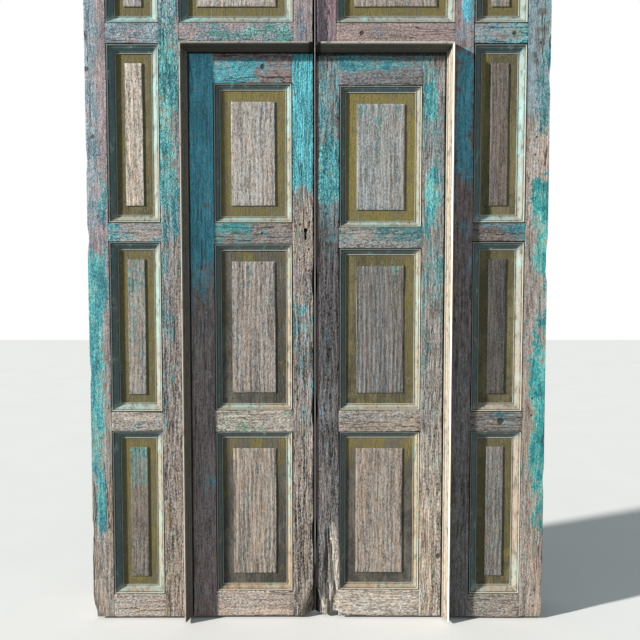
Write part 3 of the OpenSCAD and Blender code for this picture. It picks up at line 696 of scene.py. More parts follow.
tops = {
    "left": {"bare": [(0, GREY), (0.6, MAUVE)],
             "coats": [{"colours": PALE_BLUE, "along": [(0, 0.7), (0.6, 0.5)]},
                       {"colours": TURQUOISE, "along": [(0, 0.2), (0.6, 0.45)]}]},
    "right": {"bare": [(0, MAUVE), (0.6, GREY)],
              "coats": [{"colours": PINK, "along": [(0, 0.5), (0.6, 0.3)]},
                        {"colours": TURQUOISE, "along": [(0, 0.2), (0.6, 0.5)]}]},
}
seed = 40
for hand in ("left", "right"):
    spans = (("header_rail", "inner_stile", headers), ("top_rail", "outer_stile", tops))
    for kind, far_stile, paints in spans:
        seed += 1
        name = f"gate_{hand}_{kind}"
        low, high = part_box(name)
        low.x, high.x = gap_between(f"gate_{hand}_meeting_stile", f"gate_{hand}_{far_stile}")
        low.y += RAIL_SETBACK
        rail = plank(name + "_worn", low, high, 0, seed, tenon=TENON)
        fit(rail, f"gate_{hand}", "rail_paint",
            timber(name, low, high, 0, seed=seed, **paints[hand]), name)

# ---- Raised panels ----
# Boards that float in the grooves of the frame. Each has a raised field with
# steep edges. The margins are mustard under dirt. The fields are bare, or have
# thin streaks of turquoise left.

MOULDING = {"gate": 0.029, "wicket": 0.023}
FIELD_INSET = 0.059
FIELD_RISE = 0.006
FIELD_WEAR = 0.0015
FIELD_ARRIS = 0.0026
FIELD_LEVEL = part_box("gate_left_side_panel_1")[0].y + 0.0052  # parts the fields from the margins
RIB_SPACING = 0.0155
RIBS = {"wicket_right_panel_2": 0.0012, "wicket_left_panel_2": 0.0007, "wicket_left_panel_1": 0.0008}
OLIVE = ((0.07, 0.065, 0.04), (0.13, 0.115, 0.06), (0.19, 0.165, 0.085))
SMOKE = ((0.05, 0.05, 0.046), (0.095, 0.087, 0.073), (0.15, 0.137, 0.11))
MUSTARD = ((0.20, 0.17, 0.06), (0.34, 0.27, 0.07))


def raised_panel(name, low, high, seed, ribs=0.0005):
    """A board with its field standing forward of its margins. The soft wood between
    its summer rings has worn away, to the depth of ribs."""
    inset = GROOVE + FIELD_INSET
    level = low.y + FIELD_RISE
    back = Vector((low.x, level, low.z))
    piece = block(name, (back + high) / 2, high - back)
    start_edit(piece)
    inner_low = low + Vector((inset, 0, inset))
    inner_high = high - Vector((inset, 0, inset))
    for axis in (0, 2):
        for corner in (inner_low, inner_high):
            normal = [0, 0, 0]
            normal[axis] = 1
            bpy.ops.mesh.select_all(action="SELECT")
            bpy.ops.mesh.bisect(plane_co=corner, plane_no=normal)

    def is_field(face):
        middle = face.calc_center_median()
        return face.normal.y < -0.9 and all(
            inner_low[axis] < middle[axis] < inner_high[axis] for axis in (0, 2))

    select(piece, "faces", is_field)
    front = low.y + FIELD_WEAR
    bpy.ops.mesh.extrude_region_move(TRANSFORM_OT_translate={"value": (0, front - level, 0)})
    select(piece, "edges", lambda edge: all(abs(v.co.y - front) < 1e-5 for v in edge.verts))
    bpy.ops.mesh.bevel(offset=FIELD_ARRIS, segments=2, affect="EDGES")
    for axis in range(3):
        cut_lengths(piece, axis, ALONG_CELL if axis == 2 else ACROSS_CELL)
    bpy.ops.object.mode_set(mode="OBJECT")
    for vertex in piece.data.vertices:
        if vertex.co.y < front + 0.0008:
            bend = 0.004 * math.sin(9 * vertex.co.z + seed) + 0.0015 * math.sin(31 * vertex.co.z)
            wave = math.sin(2 * math.pi * (vertex.co.x + bend) / RIB_SPACING)
            vertex.co.y += ribs * (1 + wave)
    displace(piece, "X", 0.005, (0.05, 0.05, 0.1), seed, 0.5)
    displace(piece, "Z", 0.005, (0.05, 0.05, 0.05), seed + 3, 0.5)
    displace(piece, "NORMAL", 0.0024, (0.006, 0.006, 0.09), seed + 5, 0.8)
    displace(piece, "NORMAL", 0.0014, (0.03, 0.03, 0.03), seed + 9, 0.8)
    keep_within(piece, low, high)
    return piece


def margins(*mustard, base=OLIVE, across=((0, 1), (1, 1))):
    """The paint of a panel's margins, behind the field: a dull coat, and a bright one
    with its cover at steps of 0.2 m from the foot."""
    return [{"colours": base, "along": [(0, 1.6), (1, 1.6)], "behind": FIELD_LEVEL, "even": 0.75},
            {"colours": MUSTARD, "along": [(0.2 * place, amount) for place, amount in enumerate(mustard)],
             "across": list(across), "behind": FIELD_LEVEL, "even": 0.7}]


def streaked(*amounts, across=((0, 1), (1, 1)), patches=()):
    """Washed-out turquoise on a field, with its cover at steps of 0.2 m from the foot."""
    return {"colours": WASHED, "front": FIELD_LEVEL, "strength": 0.85,
            "along": [(0.2 * place, amount) for place, amount in enumerate(amounts)],
            "across": list(across), "patches": list(patches)}


panels = {
    "gate_left": {
        "side_panel_1": ((0.20, 0.17, 0.145), margins(0.3, 0.35, 0.4, 0.4) + [streaked(0, 0, 0.45, 0.75)]),
        "side_panel_2": ((0.28, 0.265, 0.245), margins(0.3, 0.35, 0.4, 0.4) +
                         [streaked(0.05, 0.15, 0.4, 0.45)]),
        "side_panel_3": ((0.50, 0.44, 0.375), margins(0.15, 0.3, 0.35, 0.4, 0.5)),
        "side_panel_4": ((0.42, 0.40, 0.38), margins(0.4, 0.4) + [streaked(0.2, 0.2, 0.2)]),
        "top_panel": ((0.44, 0.40, 0.36), margins(0.45, 0.4, 0.4)),
    },
    "gate_right": {
        "side_panel_1": ((0.20, 0.19, 0.175), margins(0.1, 0.2, 0.25) +
                         [streaked(0.1, 0.25, 0.4, 0.35, across=[(0.5, 0.1), (0.8, 1)])]),
        "side_panel_2": ((0.095, 0.09, 0.083), margins(0.1, 0.15, 0.2)),
        "side_panel_3": ((0.155, 0.135, 0.12), margins(0.1, 0.5, 0.85, 0.85, 0.4,
                                                       across=((0.2, 1), (0.32, 0.1), (1, 0.3))) +
                         [{"colours": ((0.30, 0.26, 0.21), (0.40, 0.34, 0.28)), "along": [(0, 0), (1, 0)],
                           "patches": [(0.79, 0.62, 0.014, 0.12, 0.9)]}]),
        "side_panel_4": ((0.30, 0.28, 0.26), margins(0.4, 0.4) + [streaked(0.25, 0.2, 0.2)]),
        "top_panel": ((0.34, 0.30, 0.27), margins(0.45, 0.4, 0.4)),
    },
    "wicket_left": {
        "panel_1": ((0.34, 0.295, 0.25), margins(0, 0, 0.25, 0.5, base=SMOKE) +
                    [streaked(0, 0, 0.1, 0.35, across=[(0.2, 1), (0.5, 0.2)])]),
        "panel_2": ((0.31, 0.28, 0.255), margins(0.05, 0.1, 0.2, 0.4, base=SMOKE) +
                    [streaked(0, 0.1, 0.15, 0.1, across=[(0.5, 0.3), (0.9, 1)])]),
        "panel_3": ((0.38, 0.36, 0.335), margins(0.4, 0.45, 0.5, 0.55)),
    },
    "wicket_right": {
        "panel_1": ((0.325, 0.28, 0.24), margins(0, 0, 0.2, 0.6, base=SMOKE)),
        "panel_2": ((0.185, 0.18, 0.175), margins(0.2, 0.4, 0.5, 0.5,
                                                  across=((0.2, 0.2), (0.7, 0.5), (0.9, 1))) +
                    [streaked(0, 0, 0.05, 0.1, across=[(0.6, 0.2), (1, 1)],
                              patches=[(0.52, 0.67, 0.03, 0.05, 1.0)])]),
        "panel_3": ((0.30, 0.31, 0.305), margins(0.5, 0.6, 0.6, 0.55) +
                    [streaked(0, 0.1, 0.15, patches=[(0.375, 0.48, 0.022, 0.05, 1.0),
                                                     (0.42, 0.29, 0.018, 0.05, 1.0)])]),
    },
}
seed = 50
for body, kinds in panels.items():
    for kind, (colour, coats) in kinds.items():
        seed += 1
        name = f"{body}_{kind}"
        low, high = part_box(name)
        panel = raised_panel(name + "_worn", low, high, seed, RIBS.get(name, 0.0003))
        wood = timber(name, low, high, 2, [(0, colour), (0.5, colour)], coats, seed,
                      relief=1.0 if name in RIBS else 0.7, dirt=0.3, cracks=0.25, run_on=3)
        fit(panel, body, "panel_paint", wood, name)

# ---- Mouldings round the panels ----
# Mitred softwood strips nailed in the corners between frame and panel. From the
# frame inwards: a bead, a falling curve and a small bead. The left and top strips are darkened with painted
# shade, the beads carry painted highlights, and the quirks and the joint painted shade.

# Each step of a section is a width and a rise towards the street
BEAD = ((0.0005, 0.0012), (0.0009, 0.0010), (0.0012, 0.0004), (0.0012, -0.0004), (0.0009, -0.0010),
        (0.0005, -0.0014), (0.0010, -0.0010))
INNER_BEAD = ((0.0008, 0.0012), (0.0016, 0), (0.0006, -0.0022))
STRIP_RISE = 0.0026
STRIP_SINK = 0.002
CYMA_STEPS = 6


def cyma(width, fall):
    """A curve that falls away gently, then steeply, then gently."""
    levels = [(1 - math.cos(math.pi * step / CYMA_STEPS)) / 2 for step in range(CYMA_STEPS + 1)]
    return tuple((width / CYMA_STEPS, fall * (before - after)) for before, after in zip(levels, levels[1:]))


def strip_section(outer, inner, width, fall):
    """Steps at the frame, a curve, and steps on the panel, with a width and a fall in all."""
    fixed = outer + inner
    return outer + cyma(width - sum(step[0] for step in fixed), fall + sum(step[1] for step in fixed)) + inner


def moulding_ring(name, low, high, seed, steps, rise=STRIP_RISE, wander=0.003):
    """Four mitred strips round an opening. The outer edge starts behind low.y by rise."""
    bpy.ops.object.select_all(action="DESELECT")
    bpy.ops.mesh.primitive_plane_add(
        size=1, location=((low.x + high.x) / 2, low.y + rise, (low.z + high.z) / 2),
        rotation=(math.radians(90), 0, 0))
    piece = bpy.context.active_object
    piece.name = name
    piece.scale = (high.x - low.x, high.z - low.z, 1)
    bpy.ops.object.transform_apply(location=True, rotation=True, scale=True)
    start_edit(piece)
    bpy.ops.mesh.select_mode(type="FACE")
    bpy.ops.mesh.select_all(action="SELECT")
    for thickness, depth in steps:
        bpy.ops.mesh.inset(thickness=thickness, depth=depth)
    bpy.ops.mesh.extrude_region_move(TRANSFORM_OT_translate={"value": (0, 0, 0)})
    drop = high.y - max(v.co.y for v in bmesh.from_edit_mesh(piece.data).verts if v.select)
    bpy.ops.transform.translate(value=(0, drop, 0))
    bpy.ops.mesh.delete(type="FACE")
    select(piece, "edges", lambda edge: edge.is_boundary and
           all(abs(v.co.y - low.y - rise) < 1e-5 for v in edge.verts))
    bpy.ops.mesh.extrude_region_move(
        TRANSFORM_OT_translate={"value": (0, high.y - low.y - rise, 0)})
    select(piece, "edges", lambda edge: edge.is_boundary)
    bpy.ops.mesh.bridge_edge_loops()
    for axis in (0, 2):
        cut_lengths(piece, axis, ALONG_CELL)
    bpy.ops.object.mode_set(mode="OBJECT")
    across = [0] * len(piece.data.vertices)
    # Marks the left and top strips, which get painted shade.
    shaded_side = [0] * len(piece.data.vertices)
    for vertex in piece.data.vertices:
        x, _, z = vertex.co
        sides = (x - low.x, high.z - z, high.x - x, z - low.z)
        across[vertex.index] = min(sides)
        shaded_side[vertex.index] = float(sides.index(min(sides)) < 2)
    for label, values in (("across", across), ("shaded_side", shaded_side)):
        piece.data.attributes.new(label, "FLOAT", "POINT").data.foreach_set("value", values)
    displace(piece, "NORMAL", 0.0012, (0.02, 0.02, 0.02), seed, 0.8)
    displace(piece, "Y", wander, (0.06, 0.06, 0.06), seed + 4, 0.3)
    keep_within(piece, low, high)
    return piece


def strip_paint(name, seed, coats, wood, lines, shaded_side=0.85, shade_above=None, seam=0):
    """Worn paint on narrow strips. lines hold (distance from the frame, half width,
    colour, amount): painted highlights in cream and painted shade in dark lines. The left and
    top strips get painted shade in dark slate, by a share. What is above a height can get painted shade under
    a ledge, and near the seam the paint gets dirt and painted shade."""
    material, g = new_material(name)
    place = g.place()
    shifted = g.vector("ADD", place, (seed * 0.91, seed * 1.7, seed * 0.33))
    blotch = g.noise(shifted, (40, 40, 22), 5, 0.65)
    fine = g.noise(shifted, (300, 300, 90), 3, 0.6)
    patch = g.noise(shifted, (9, 9, 5), 2)
    stripe = g.noise(shifted, (210, 210, 9), 2)
    surface = g.shade(g.mix(patch, wood, (wood[0] * 1.3, wood[1] * 1.15, wood[2])), fine * 1.1 + 0.45)
    height = fine * 0.5
    for colour, cover, size in coats:
        spread = g.noise(g.vector("ADD", shifted, (size, 2 * size, size)), (size, size, size * 0.4), 2)
        wear = blotch * 0.5 + fine * 0.25 + stripe * 0.25
        amount = g.step(spread * 0.6 + cover - wear, 0.22, 0.38)
        surface = g.mix(amount, surface, g.shade(colour, fine * 0.5 + stripe * 0.5 + 0.5))
        height = height + amount * 0.3
    dirt = g.step(g.noise(shifted, (70, 70, 30), 3, 0.6), 0.50, 0.68) * 0.55
    surface = g.mix(dirt, surface, (0.06, 0.045, 0.035))
    up = g.add("ShaderNodeSeparateXYZ", None, {0: place}, 2)
    tint = g.ramp(up / 2.6, [(0.1, (1.0, 0.93, 0.82)), (0.4, (0.96, 1.0, 0.94)), (0.7, (0.86, 1.04, 1.05))])
    if shade_above is None:
        surface = g.vector("MULTIPLY", surface, tint)
    # Painted shade: the left and top strips are darkened with dark slate.
    shaded_strip = g.add("ShaderNodeAttribute", {"attribute_name": "shaded_side"}, output="Fac")
    shadow_slate = g.mix(patch, (0.055, 0.115, 0.135), (0.12, 0.175, 0.185))
    surface = g.mix(shaded_strip * shaded_side * g.step(blotch + fine * 0.3, 0.42, 0.60), surface,
                    g.shade(shadow_slate, fine * 0.8 + 0.6))
    across = g.add("ShaderNodeAttribute", {"attribute_name": "across"}, output="Fac")
    for middle, reach, colour, amount in lines:
        near = 1 - g.step(abs(across - middle) + (fine - 0.5) * 0.0015, reach * 0.6, reach * 1.2)
        surface = g.mix(near * amount * g.step(blotch, 0.30, 0.45), surface, colour)
    if shade_above is not None:
        # Painted shade under the ledge of the head piece, on its lower, inner part.
        under = g.step(up, shade_above - 0.002, shade_above) * g.step(across, 0.012, 0.015)
        surface = g.mix(under * 0.7, surface, g.mix(patch, (0.03, 0.05, 0.05), (0.09, 0.06, 0.045)))
        # Darker by the seam: dirt, and painted shade of the gap between the leaves.
        from_seam = abs(g.add("ShaderNodeSeparateXYZ", None, {0: place}, 0) - seam)
        surface = g.mix(1 - g.step(from_seam, 0.006, 0.016), surface, DIRT_AND_SHADE)
    g.surface({"Base Color": surface, "Roughness": 0.6 + blotch * 0.3, "Specular IOR Level": 0.3,
               "Normal": g.bump(height + stripe * 0.3, 0.0014)})
    return material


CREAM = (0.54, 0.50, 0.41)
MINT = (0.33, 0.44, 0.42)
SLATE = (0.15, 0.25, 0.28)
TEAL = (0.09, 0.31, 0.34)
RUST_RED = (0.28, 0.14, 0.09)
# Near black: dirt, and painted shade in joints, quirks and the seam.
DIRT_AND_SHADE = (0.025, 0.022, 0.02)
mouldings = {
    "gate_left": ((0.30, 0.29, 0.26), [(MINT, 0.48, 6), (SLATE, 0.06, 7), (TEAL, 0.0, 8),
                                       (CREAM, 0.08, 9)]),
    "gate_right": ((0.29, 0.27, 0.25), [(MINT, 0.46, 6), (SLATE, 0.08, 7), (TEAL, 0.02, 8),
                                        (CREAM, 0.10, 9)]),
    "wicket_left": ((0.32, 0.28, 0.23), [(MINT, 0.46, 6), (SLATE, 0.05, 7), (RUST_RED, 0.02, 5),
                                         (CREAM, 0.12, 9)]),
    "wicket_right": ((0.31, 0.27, 0.22), [(MINT, 0.47, 6), (SLATE, 0.06, 7), (RUST_RED, 0.04, 5),
                                          (CREAM, 0.12, 9)]),
}
seed = 80
for body, (wood, coats) in mouldings.items():
    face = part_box(f"{body}_meeting_stile")[0].y
    rings = []
    for kind in panels[body]:
        seed += 1
        low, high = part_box(f"{body}_{kind}")
        margin_level = low.y + FIELD_RISE
        low = Vector((low.x + GROOVE, face + 0.002, low.z + GROOVE))
        width = MOULDING[body.split("_")[0]]
        section = strip_section(BEAD, INNER_BEAD, width, margin_level - low.y - STRIP_RISE)
        high = Vector((high.x - GROOVE, margin_level + STRIP_SINK, high.z - GROOVE))
        rings.append(moulding_ring(f"{body}_mouldings_worn", low, high, seed, section))
    ring = join(rings[0], rings[1:])
    # Lines along the strips: painted shade in the joint with the frame and in the quirks, and painted
    # highlights in cream on the beads.
    lines = [(0, 0.0018, DIRT_AND_SHADE, 0.95), (0.0038, 0.0014, CREAM, 0.6), (0.0070, 0.0012, DIRT_AND_SHADE, 0.85),
             (width - 0.0046, 0.0010, DIRT_AND_SHADE, 0.7), (width - 0.0018, 0.0014, CREAM, 0.7)]
    fit(ring, body, "moulding_paint", strip_paint(f"{body}_mouldings", seed, coats, wood, lines),
        f"{body}_mouldings")

# ---- Surrounds of the wickets ----
# A heavy moulding round each wicket, proud of the gate, with a stop behind that
# the wicket closes on. Its cream and mint paint has painted highlights on the crest and the inner bead, dark
# lines of painted shade along the section, painted shade on the left upright and the head, and dirt and
# painted shade by the seam.

SURROUND_RISE = 0.030
SURROUND_BEAD = ((0.0012, 0.0070), (0.0014, 0.0070), (0.0014, 0.0065), (0.0014, 0.0050), (0.0012, 0.0030),
                 (0.0010, 0.0012), (0.0010, 0.0003), (0.0010, -0.0003), (0.0010, -0.0012), (0.0008, -0.0020))
SURROUND_EDGE = ((0.0008, 0.0012), (0.0016, 0), (0.0006, -0.0014))
SURROUND_WIDTH = 0.026
SURROUND_LIP = 0.004
SEAM_SLANT = 0.0093


def surround(name, low, high, seed, hand):
    """An upright and a head piece, mitred: a ring that is cut off at the seam and the floor.
    The end at the seam slants, to clear the other gate as it opens."""
    seam = high.x if hand == "left" else low.x
    ring_low = low - Vector((0 if hand == "left" else 1, 0, 1))
    ring_high = high + Vector((1 if hand == "left" else 0, 0, 0))
    fall = GATE_FACE - SURROUND_LIP - low.y - SURROUND_RISE
    section = strip_section(SURROUND_BEAD, SURROUND_EDGE, SURROUND_WIDTH, fall)
    piece = moulding_ring(name, ring_low, ring_high, seed, section, SURROUND_RISE, 0.002)
    start_edit(piece)
    toward = -1 if hand == "left" else 1
    slant = (toward * (high.y - low.y), SEAM_SLANT, 0)
    for corner, normal in (((seam, low.y, 0), slant), ((0, 0, low.z), (0, 0, 1))):
        bpy.ops.mesh.select_all(action="SELECT")
        bpy.ops.mesh.bisect(plane_co=corner, plane_no=normal, use_fill=True, clear_inner=True)
    bpy.ops.object.mode_set(mode="OBJECT")
    return piece


# The left surround is darker, with more slate, and the right one paler, with more cream: partly painted shade
# and painted light. The last entry is a painted highlight on the crest, wider and brighter on the lit right
# one.
surrounds = {
    "left": ((0.23, 0.185, 0.15), [(SLATE, 0.18, 4), (MINT, 0.08, 6), (CREAM, 0.06, 5)],
             (0.0085, 0.0030, (0.52, 0.49, 0.42), 0.9)),
    "right": ((0.35, 0.33, 0.28), [(MINT, 0.26, 6), (CREAM, 0.26, 5), (SLATE, 0.02, 4)],
              (0.0080, 0.0052, (0.80, 0.76, 0.66), 1.0)),
}
for seed, (hand, (wood, coats, crest_highlight)) in enumerate(surrounds.items(), 100):
    name = f"gate_{hand}_surround"
    low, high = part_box(name)
    strip = surround(name + "_worn", low, high, seed, hand)
    seam_side = high.x if hand == "left" else low.x
    # Dark lines of painted shade along the section, and a cream painted highlight on the inner bead.
    lines = [crest_highlight, (0.0145, 0.0008, DIRT_AND_SHADE, 0.5), (0.018, 0.0008, DIRT_AND_SHADE, 0.35), (0.0228, 0.0006, DIRT_AND_SHADE, 0.5),
             (0.0245, 0.0012, CREAM, 0.4)]
    paint = strip_paint(name, seed, coats, wood, lines, 0.3, high.z - SURROUND_WIDTH, seam_side)
    fit(strip, f"gate_{hand}", "moulding_paint", paint, name)

# ---- Hinge stiles of the wickets ----
# Uprights at the hinge side. Behind the face they are wider, and that lap closes
# on the surround's stop. The shelter of the surround has kept teal on the left.

LAP_FRONT = 0.028
HEAD_LAP_FRONT = 0.030
LAP_WIDTH = 0.022


def lapped(side_lap, head_lap, lap_front, then=None):
    """Widens the back of a board: by side_lap along X, and by head_lap upwards."""
    def shape(piece):
        if then:
            then(piece)
        bpy.ops.mesh.select_all(action="SELECT")
        bpy.ops.mesh.bisect(plane_co=(0, GATE_FACE + lap_front, 0), plane_no=(0, 1, 0))
        for axis, lap in ((0, side_lap), (2, head_lap)):
            if lap:
                select(piece, "faces", lambda face: face.normal[axis] * math.copysign(1, lap) > 0.9
                       and face.calc_center_median().y > GATE_FACE + lap_front)
                move = [0, 0, 0]
                move[axis] = lap
                bpy.ops.mesh.extrude_region_move(TRANSFORM_OT_translate={"value": move})
    return shape


hinge_stiles = {
    "left": {
        "bare": [(0, (0.35, 0.27, 0.26)), (1.2, (0.30, 0.27, 0.27)), (1.9, (0.30, 0.28, 0.28))],
        "coats": [{"colours": ((0.12, 0.40, 0.52), (0.14, 0.62, 0.81)),
                   "along": [(0.9, 0.1), (1.1, 0.25), (1.22, 0.6), (1.35, 0.8), (1.9, 0.85)]}],
        "dirt": 0.6,
    },
    "right": {
        "bare": [(0, (0.46, 0.39, 0.32)), (0.5, (0.42, 0.36, 0.30)), (0.75, (0.29, 0.27, 0.245)), (1.4, GREY),
                 (1.9, GREY)],
        "contrast": 1.6, "relief": 1.5,
        "coats": [{"colours": ((0.14, 0.28, 0.28), (0.24, 0.40, 0.40)),
                   "along": [(0.7, 0.05), (1.0, 0.35), (1.3, 0.45), (1.9, 0.55)]},
                  {"colours": TURQUOISE, "along": [(0.7, 0), (1.0, 0.1), (1.3, 0.15), (1.9, 0.15)],
                   "patches": [(1.50, 0.45, 0.10, 0.34, 0.8), (1.83, 0.4, 0.08, 0.34, 0.7)]}],
        "knots": [(0.22, 0.9, 0.010)],
    },
}
for seed, (hand, paint) in enumerate(hinge_stiles.items(), 111):
    name = f"wicket_{hand}_hinge_stile"
    low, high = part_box(name)
    outward = -1 if hand == "left" else 1
    face_low = low.copy()
    face_high = high.copy()
    face_high.z -= LAP_WIDTH
    if hand == "left":
        face_low.x += LAP_WIDTH
    else:
        face_high.x -= LAP_WIDTH
    stile = plank(name + "_worn", face_low, face_high, 2, seed, wander=0.003,
                  shape=lapped(outward * LAP_WIDTH, LAP_WIDTH, LAP_FRONT))
    fit(stile, f"wicket_{hand}", "stile_paint",
        timber(name, face_low, face_high, 2, seed=seed, **paint), name)

# ---- Meeting stiles of the wickets ----
# Uprights at the seam. The left one has the bare patch of a lost lock with its
# keyhole. The feet of both are broken, and the right one is split as well.

WICKET_SEAM = 0.004
KEYHOLE = Vector((-0.043, 0, 1.376))


def drill(piece, centre, width, height, depth):
    """Cuts a hole with round ends, from the street side."""
    cutter = block("hole", centre, (width, depth, height))
    start_edit(cutter)
    select(cutter, "edges", lambda edge: abs((edge.verts[1].co - edge.verts[0].co).y) > depth * 0.9)
    bpy.ops.mesh.bevel(offset=width * 0.42, segments=3, affect="EDGES")
    bpy.ops.object.mode_set(mode="OBJECT")
    pick(piece)
    modifier = piece.modifiers.new("hole", "BOOLEAN")
    modifier.operation = "DIFFERENCE"
    modifier.solver = "EXACT"
    modifier.object = cutter
    bpy.ops.object.modifier_apply(modifier=modifier.name)
    bpy.data.objects.remove(cutter)


lock_stiles = {
    "left": {
        "bare": [(0, (0.30, 0.25, 0.21)), (0.9, (0.28, 0.25, 0.23)), (1.35, (0.33, 0.28, 0.24)), (1.9, GREY)],
        "coats": [
            {"colours": ((0.36, 0.30, 0.25), (0.46, 0.39, 0.32)), "along": [(1.1, 0), (1.2, 0.1), (1.9, 0)],
             "patches": [(1.33, 0.5, 0.11, 0.5, 1.1)]},
            {"colours": PINK, "along": [(1.15, 0), (1.2, 0.5), (1.26, 0.4), (1.3, 0)]},
            {"colours": ((0.09, 0.36, 0.42), (0.12, 0.56, 0.64)),
             "along": [(0.5, 0), (0.75, 0.3), (1.1, 0.38), (1.2, 0.1), (1.42, 0.1), (1.5, 0.5), (1.56, 0.9),
                       (1.9, 0.92)]},
        ],
        "knots": [(1.24, 0.75, 0.004), (0.74, 0.5, 0.004), (0.54, 0.5, 0.004)],
    },
    "right": {
        "bare": [(0, (0.19, 0.175, 0.165)), (0.6, (0.15, 0.142, 0.145)), (0.95, (0.095, 0.092, 0.096)),
                 (1.35, (0.09, 0.084, 0.09)), (1.45, (0.15, 0.16, 0.165)), (1.9, (0.18, 0.20, 0.205))],
        "coats": [
            {"colours": ((0.40, 0.36, 0.31), (0.56, 0.51, 0.45)), "along": [(0, 0), (1.9, 0)],
             "patches": [(0.15, 0.80, 0.19, 0.26, 1.2), (0.05, 0.6, 0.08, 0.35, 0.9)]},
            {"colours": ((0.14, 0.30, 0.33), (0.20, 0.42, 0.45)),
             "along": [(1.2, 0), (1.45, 0.4), (1.9, 0.5)]},
            {"colours": TURQUOISE, "along": [(1.2, 0.05), (1.45, 0.2), (1.5, 0.7), (1.65, 0.7), (1.72, 0.3),
                                              (1.9, 0.35)]},
        ],
        "knots": [(1.22, 0.15, 0.008)],
        "dirt": 0.4,
    },
}
SPLINTERS = 26
shards = random.Random(7)
for seed, (hand, paint) in enumerate(lock_stiles.items(), 121):
    name = f"wicket_{hand}_meeting_stile"
    low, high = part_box(name)
    lead = high.x if hand == "left" else low.x
    high = high.copy()
    high.z -= LAP_WIDTH
    stile = plank(name + "_worn", low, high, 2, seed, seam=lead, wander=0.003, ridge=0.0042,
                  shape=lapped(0, LAP_WIDTH, HEAD_LAP_FRONT, then=bevel_seam(WICKET_SEAM, lead)))
    inward = -1 if hand == "left" else 1
    for height, bite in ((0.0, 0.03), (0.05, 0.018), (0.30, 0.006), (0.75, 0.007), (1.2, 0.006)):
        dent(stile, (lead, low.y, FOOT + height), (0.05, 0.05, 0.07), (inward * bite, 0.004, 0))
    if hand == "left":
        drill(stile, (KEYHOLE.x, low.y, KEYHOLE.z - 0.008), 0.008, 0.028, 0.068)
        drill(stile, (KEYHOLE.x, low.y, KEYHOLE.z + 0.012), 0.013, 0.016, 0.068)
        for across, up in ((0.012, -0.054), (-0.018, 0.032), (0.014, 0.040), (-0.02, -0.09)):
            drill(stile, (KEYHOLE.x + across, low.y, KEYHOLE.z + up), 0.0065, 0.0075, 0.03)
    if hand == "right":
        dent(stile, (high.x, low.y, FOOT), (0.034, 0.08, 0.10), (-0.008, 0.040, 0.01))
        dent(stile, (high.x - 0.022, low.y, FOOT), (0.05, 0.03, 0.34), (0, 0.012, 0))
        for _ in range(SPLINTERS):
            share = shards.random()
            place = (high.x - 0.004 - 0.048 * share, low.y + 0.004, FOOT + 0.3 * shards.random())
            reach = (shards.uniform(0.004, 0.008), 0.03, shards.uniform(0.03, 0.10))
            dent(stile, place, reach, (shards.uniform(-0.003, 0.003), shards.uniform(-0.004, 0.012), 0))
    fit(stile, f"wicket_{hand}", "stile_paint",
        timber(name, low, high, 2, seed=seed, seam=lead, seam_dirt_and_shade=0.007 if hand == "left" else 0.015,
               relief=2.2, contrast=1.9, **paint), name)

# ---- Rails of the wickets ----
# Four cross pieces in each wicket, tenoned into its stiles. The doors are not
# quite alike: the right middle rail sits lower than the left.

wicket_rails = {
    "left": {
        "bottom_rail": {"bare": [(0, (0.48, 0.40, 0.34)), (0.2, (0.48, 0.40, 0.34))], "dirt": 0.25},
        "lower_rail": {"bare": [(0, (0.42, 0.39, 0.34)), (0.2, (0.46, 0.41, 0.355))], "dirt": 0.3,
                       "coats": [{"colours": ((0.20, 0.32, 0.22), (0.26, 0.36, 0.28)),
                                  "along": [(0, 0.25), (0.2, 0.15)]}]},
        "middle_rail": {"bare": [(0, (0.21, 0.20, 0.195)), (0.2, (0.27, 0.25, 0.24))],
                        "coats": [{"colours": ((0.07, 0.30, 0.32), (0.15, 0.42, 0.42)),
                                   "along": [(0, 0.7), (0.1, 0.55), (0.14, 0.2), (0.2, 0.2)]}],
                        "knots": [(0.17, 0.5, 0.004)]},
        "top_rail": {"bare": [(0, MAUVE), (0.2, MAUVE)],
                     "coats": [{"colours": ((0.09, 0.36, 0.42), (0.12, 0.56, 0.64)),
                                "along": [(0, 0.75), (0.12, 0.65), (0.17, 0.3)],
                                "across": [(0.6, 1), (0.85, 0.3)]}],
                     "knots": [(0.175, 0.55, 0.008)]},
    },
    "right": {
        "bottom_rail": {"bare": [(0, (0.52, 0.46, 0.39)), (0.2, (0.54, 0.475, 0.40))], "dirt": 0.25},
        "lower_rail": {"bare": [(0, (0.32, 0.29, 0.26)), (0.2, (0.35, 0.31, 0.27))], "dirt": 0.35},
        "middle_rail": {"bare": [(0, (0.29, 0.28, 0.27)), (0.2, (0.31, 0.30, 0.28))],
                        "coats": [{"colours": ((0.10, 0.24, 0.26), (0.18, 0.38, 0.38)),
                                   "along": [(0, 0.4), (0.2, 0.45)]}]},
        "top_rail": {"bare": [(0, (0.22, 0.21, 0.225)), (0.2, (0.20, 0.20, 0.21))],
                     "coats": [{"colours": TURQUOISE, "along": [(0, 0.55), (0.2, 0.55)],
                                "across": [(0.35, 0.25), (0.6, 1)]}]},
    },
}
seed = 130
for hand, kinds in wicket_rails.items():
    for kind, paint in kinds.items():
        seed += 1
        name = f"wicket_{hand}_{kind}"
        low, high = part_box(name)
        low.x, high.x = gap_between(f"wicket_{hand}_meeting_stile", f"wicket_{hand}_hinge_stile")
        low.y += RAIL_SETBACK
        shape = None
        if kind == "top_rail":
            high.z -= LAP_WIDTH
            shape = lapped(0, LAP_WIDTH, HEAD_LAP_FRONT)
        rail = plank(name + "_worn", low, high, 0, seed, tenon=TENON, shape=shape)
        fit(rail, f"wicket_{hand}", "rail_paint", timber(name, low, high, 0, seed=seed, **paint), name)

# ---- Pegs ----
# Split oak pegs, driven into the tenons from the inside and cut off just below
# the boards' back faces. They show only there, as darker end grain.

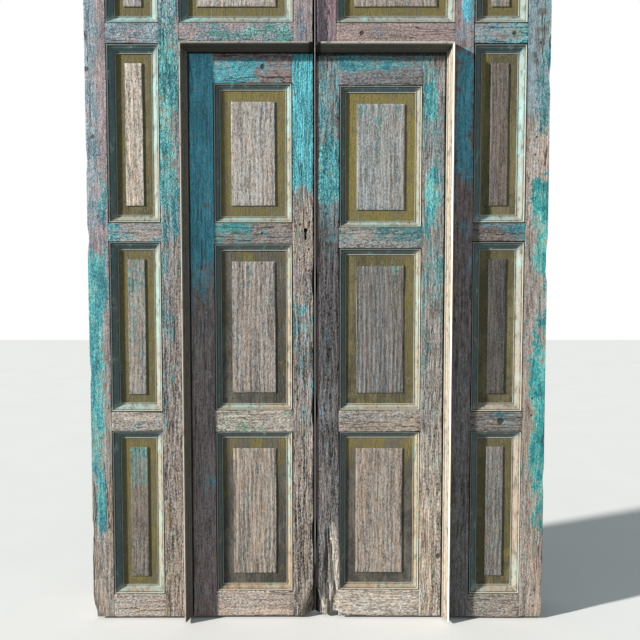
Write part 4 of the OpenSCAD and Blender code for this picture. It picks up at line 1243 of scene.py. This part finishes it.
peg_wood, graph = new_material("oak_peg")
grain = graph.noise(graph.place(), (420, 420, 420), 3, 0.6)
cloud = graph.noise(graph.place(), (30, 30, 30), 3)
brown = graph.mix(cloud, (0.10, 0.065, 0.04), (0.20, 0.14, 0.09))
graph.surface({"Base Color": graph.shade(brown, grain * 1.2 + 0.4), "Roughness": grain * 0.3 + 0.6,
               "Normal": graph.bump(grain, 0.001)})
for body in panels:
    paint_over(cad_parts[f"{body}_pegs"], peg_wood)

# ---- Frame timbers ----
# Jambs behind the doors and a head beam above them, of sawn softwood. Little rain
# reached them, so they are brown and dusty.

frame_wood = timber("frame_timber", *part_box("jamb_left"), 2, [(0, BROWN), (2.6, (0.27, 0.22, 0.18))],
                    seed=141, dirt=0.6)
head_wood = timber("head_timber", *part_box("head_beam"), 0, [(0, BROWN), (1.6, (0.27, 0.22, 0.18))],
                   seed=142, dirt=0.6)
for name, wood in (("jamb_left", frame_wood), ("jamb_right", frame_wood), ("head_beam", head_wood)):
    paint_over(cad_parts[name], wood)

# ---- Ironwork ----
# Forged pintles and straps, and cast butt hinges, all painted once and now brown
# with rust, with scales and dark pits.


def rusty_iron(name):
    material, g = new_material(name)
    place = g.place()
    scales = g.noise(place, (90, 90, 90), 5, 0.7)
    pits = g.noise(place, (400, 400, 400), 3, 0.6)
    cloud = g.noise(place, (14, 14, 14), 3, 0.6)
    rust = g.ramp(scales * 0.7 + pits * 0.3, [(0.3, (0.035, 0.022, 0.018)), (0.48, (0.13, 0.055, 0.028)),
                                              (0.62, (0.26, 0.115, 0.045)), (0.75, (0.34, 0.19, 0.09))])
    old_paint = g.step(cloud + (scales - 0.5) * 0.6, 0.58, 0.66)
    surface = g.mix(old_paint * 0.8, rust, (0.06, 0.11, 0.12))
    g.surface({"Base Color": surface, "Metallic": 0.25, "Roughness": 0.7 + pits * 0.25,
               "Normal": g.bump(scales * 0.7 + pits * 0.5, 0.0012)})
    return material


iron = rusty_iron("rusty_iron")
iron_nodes = ["gate_pintles"] + [f"{body}_butt_hinges" for body in panels] + \
    [f"gate_{hand}_strap_hinges" for hand in ("left", "right")]
for name in iron_nodes:
    paint_over(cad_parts[name], iron)
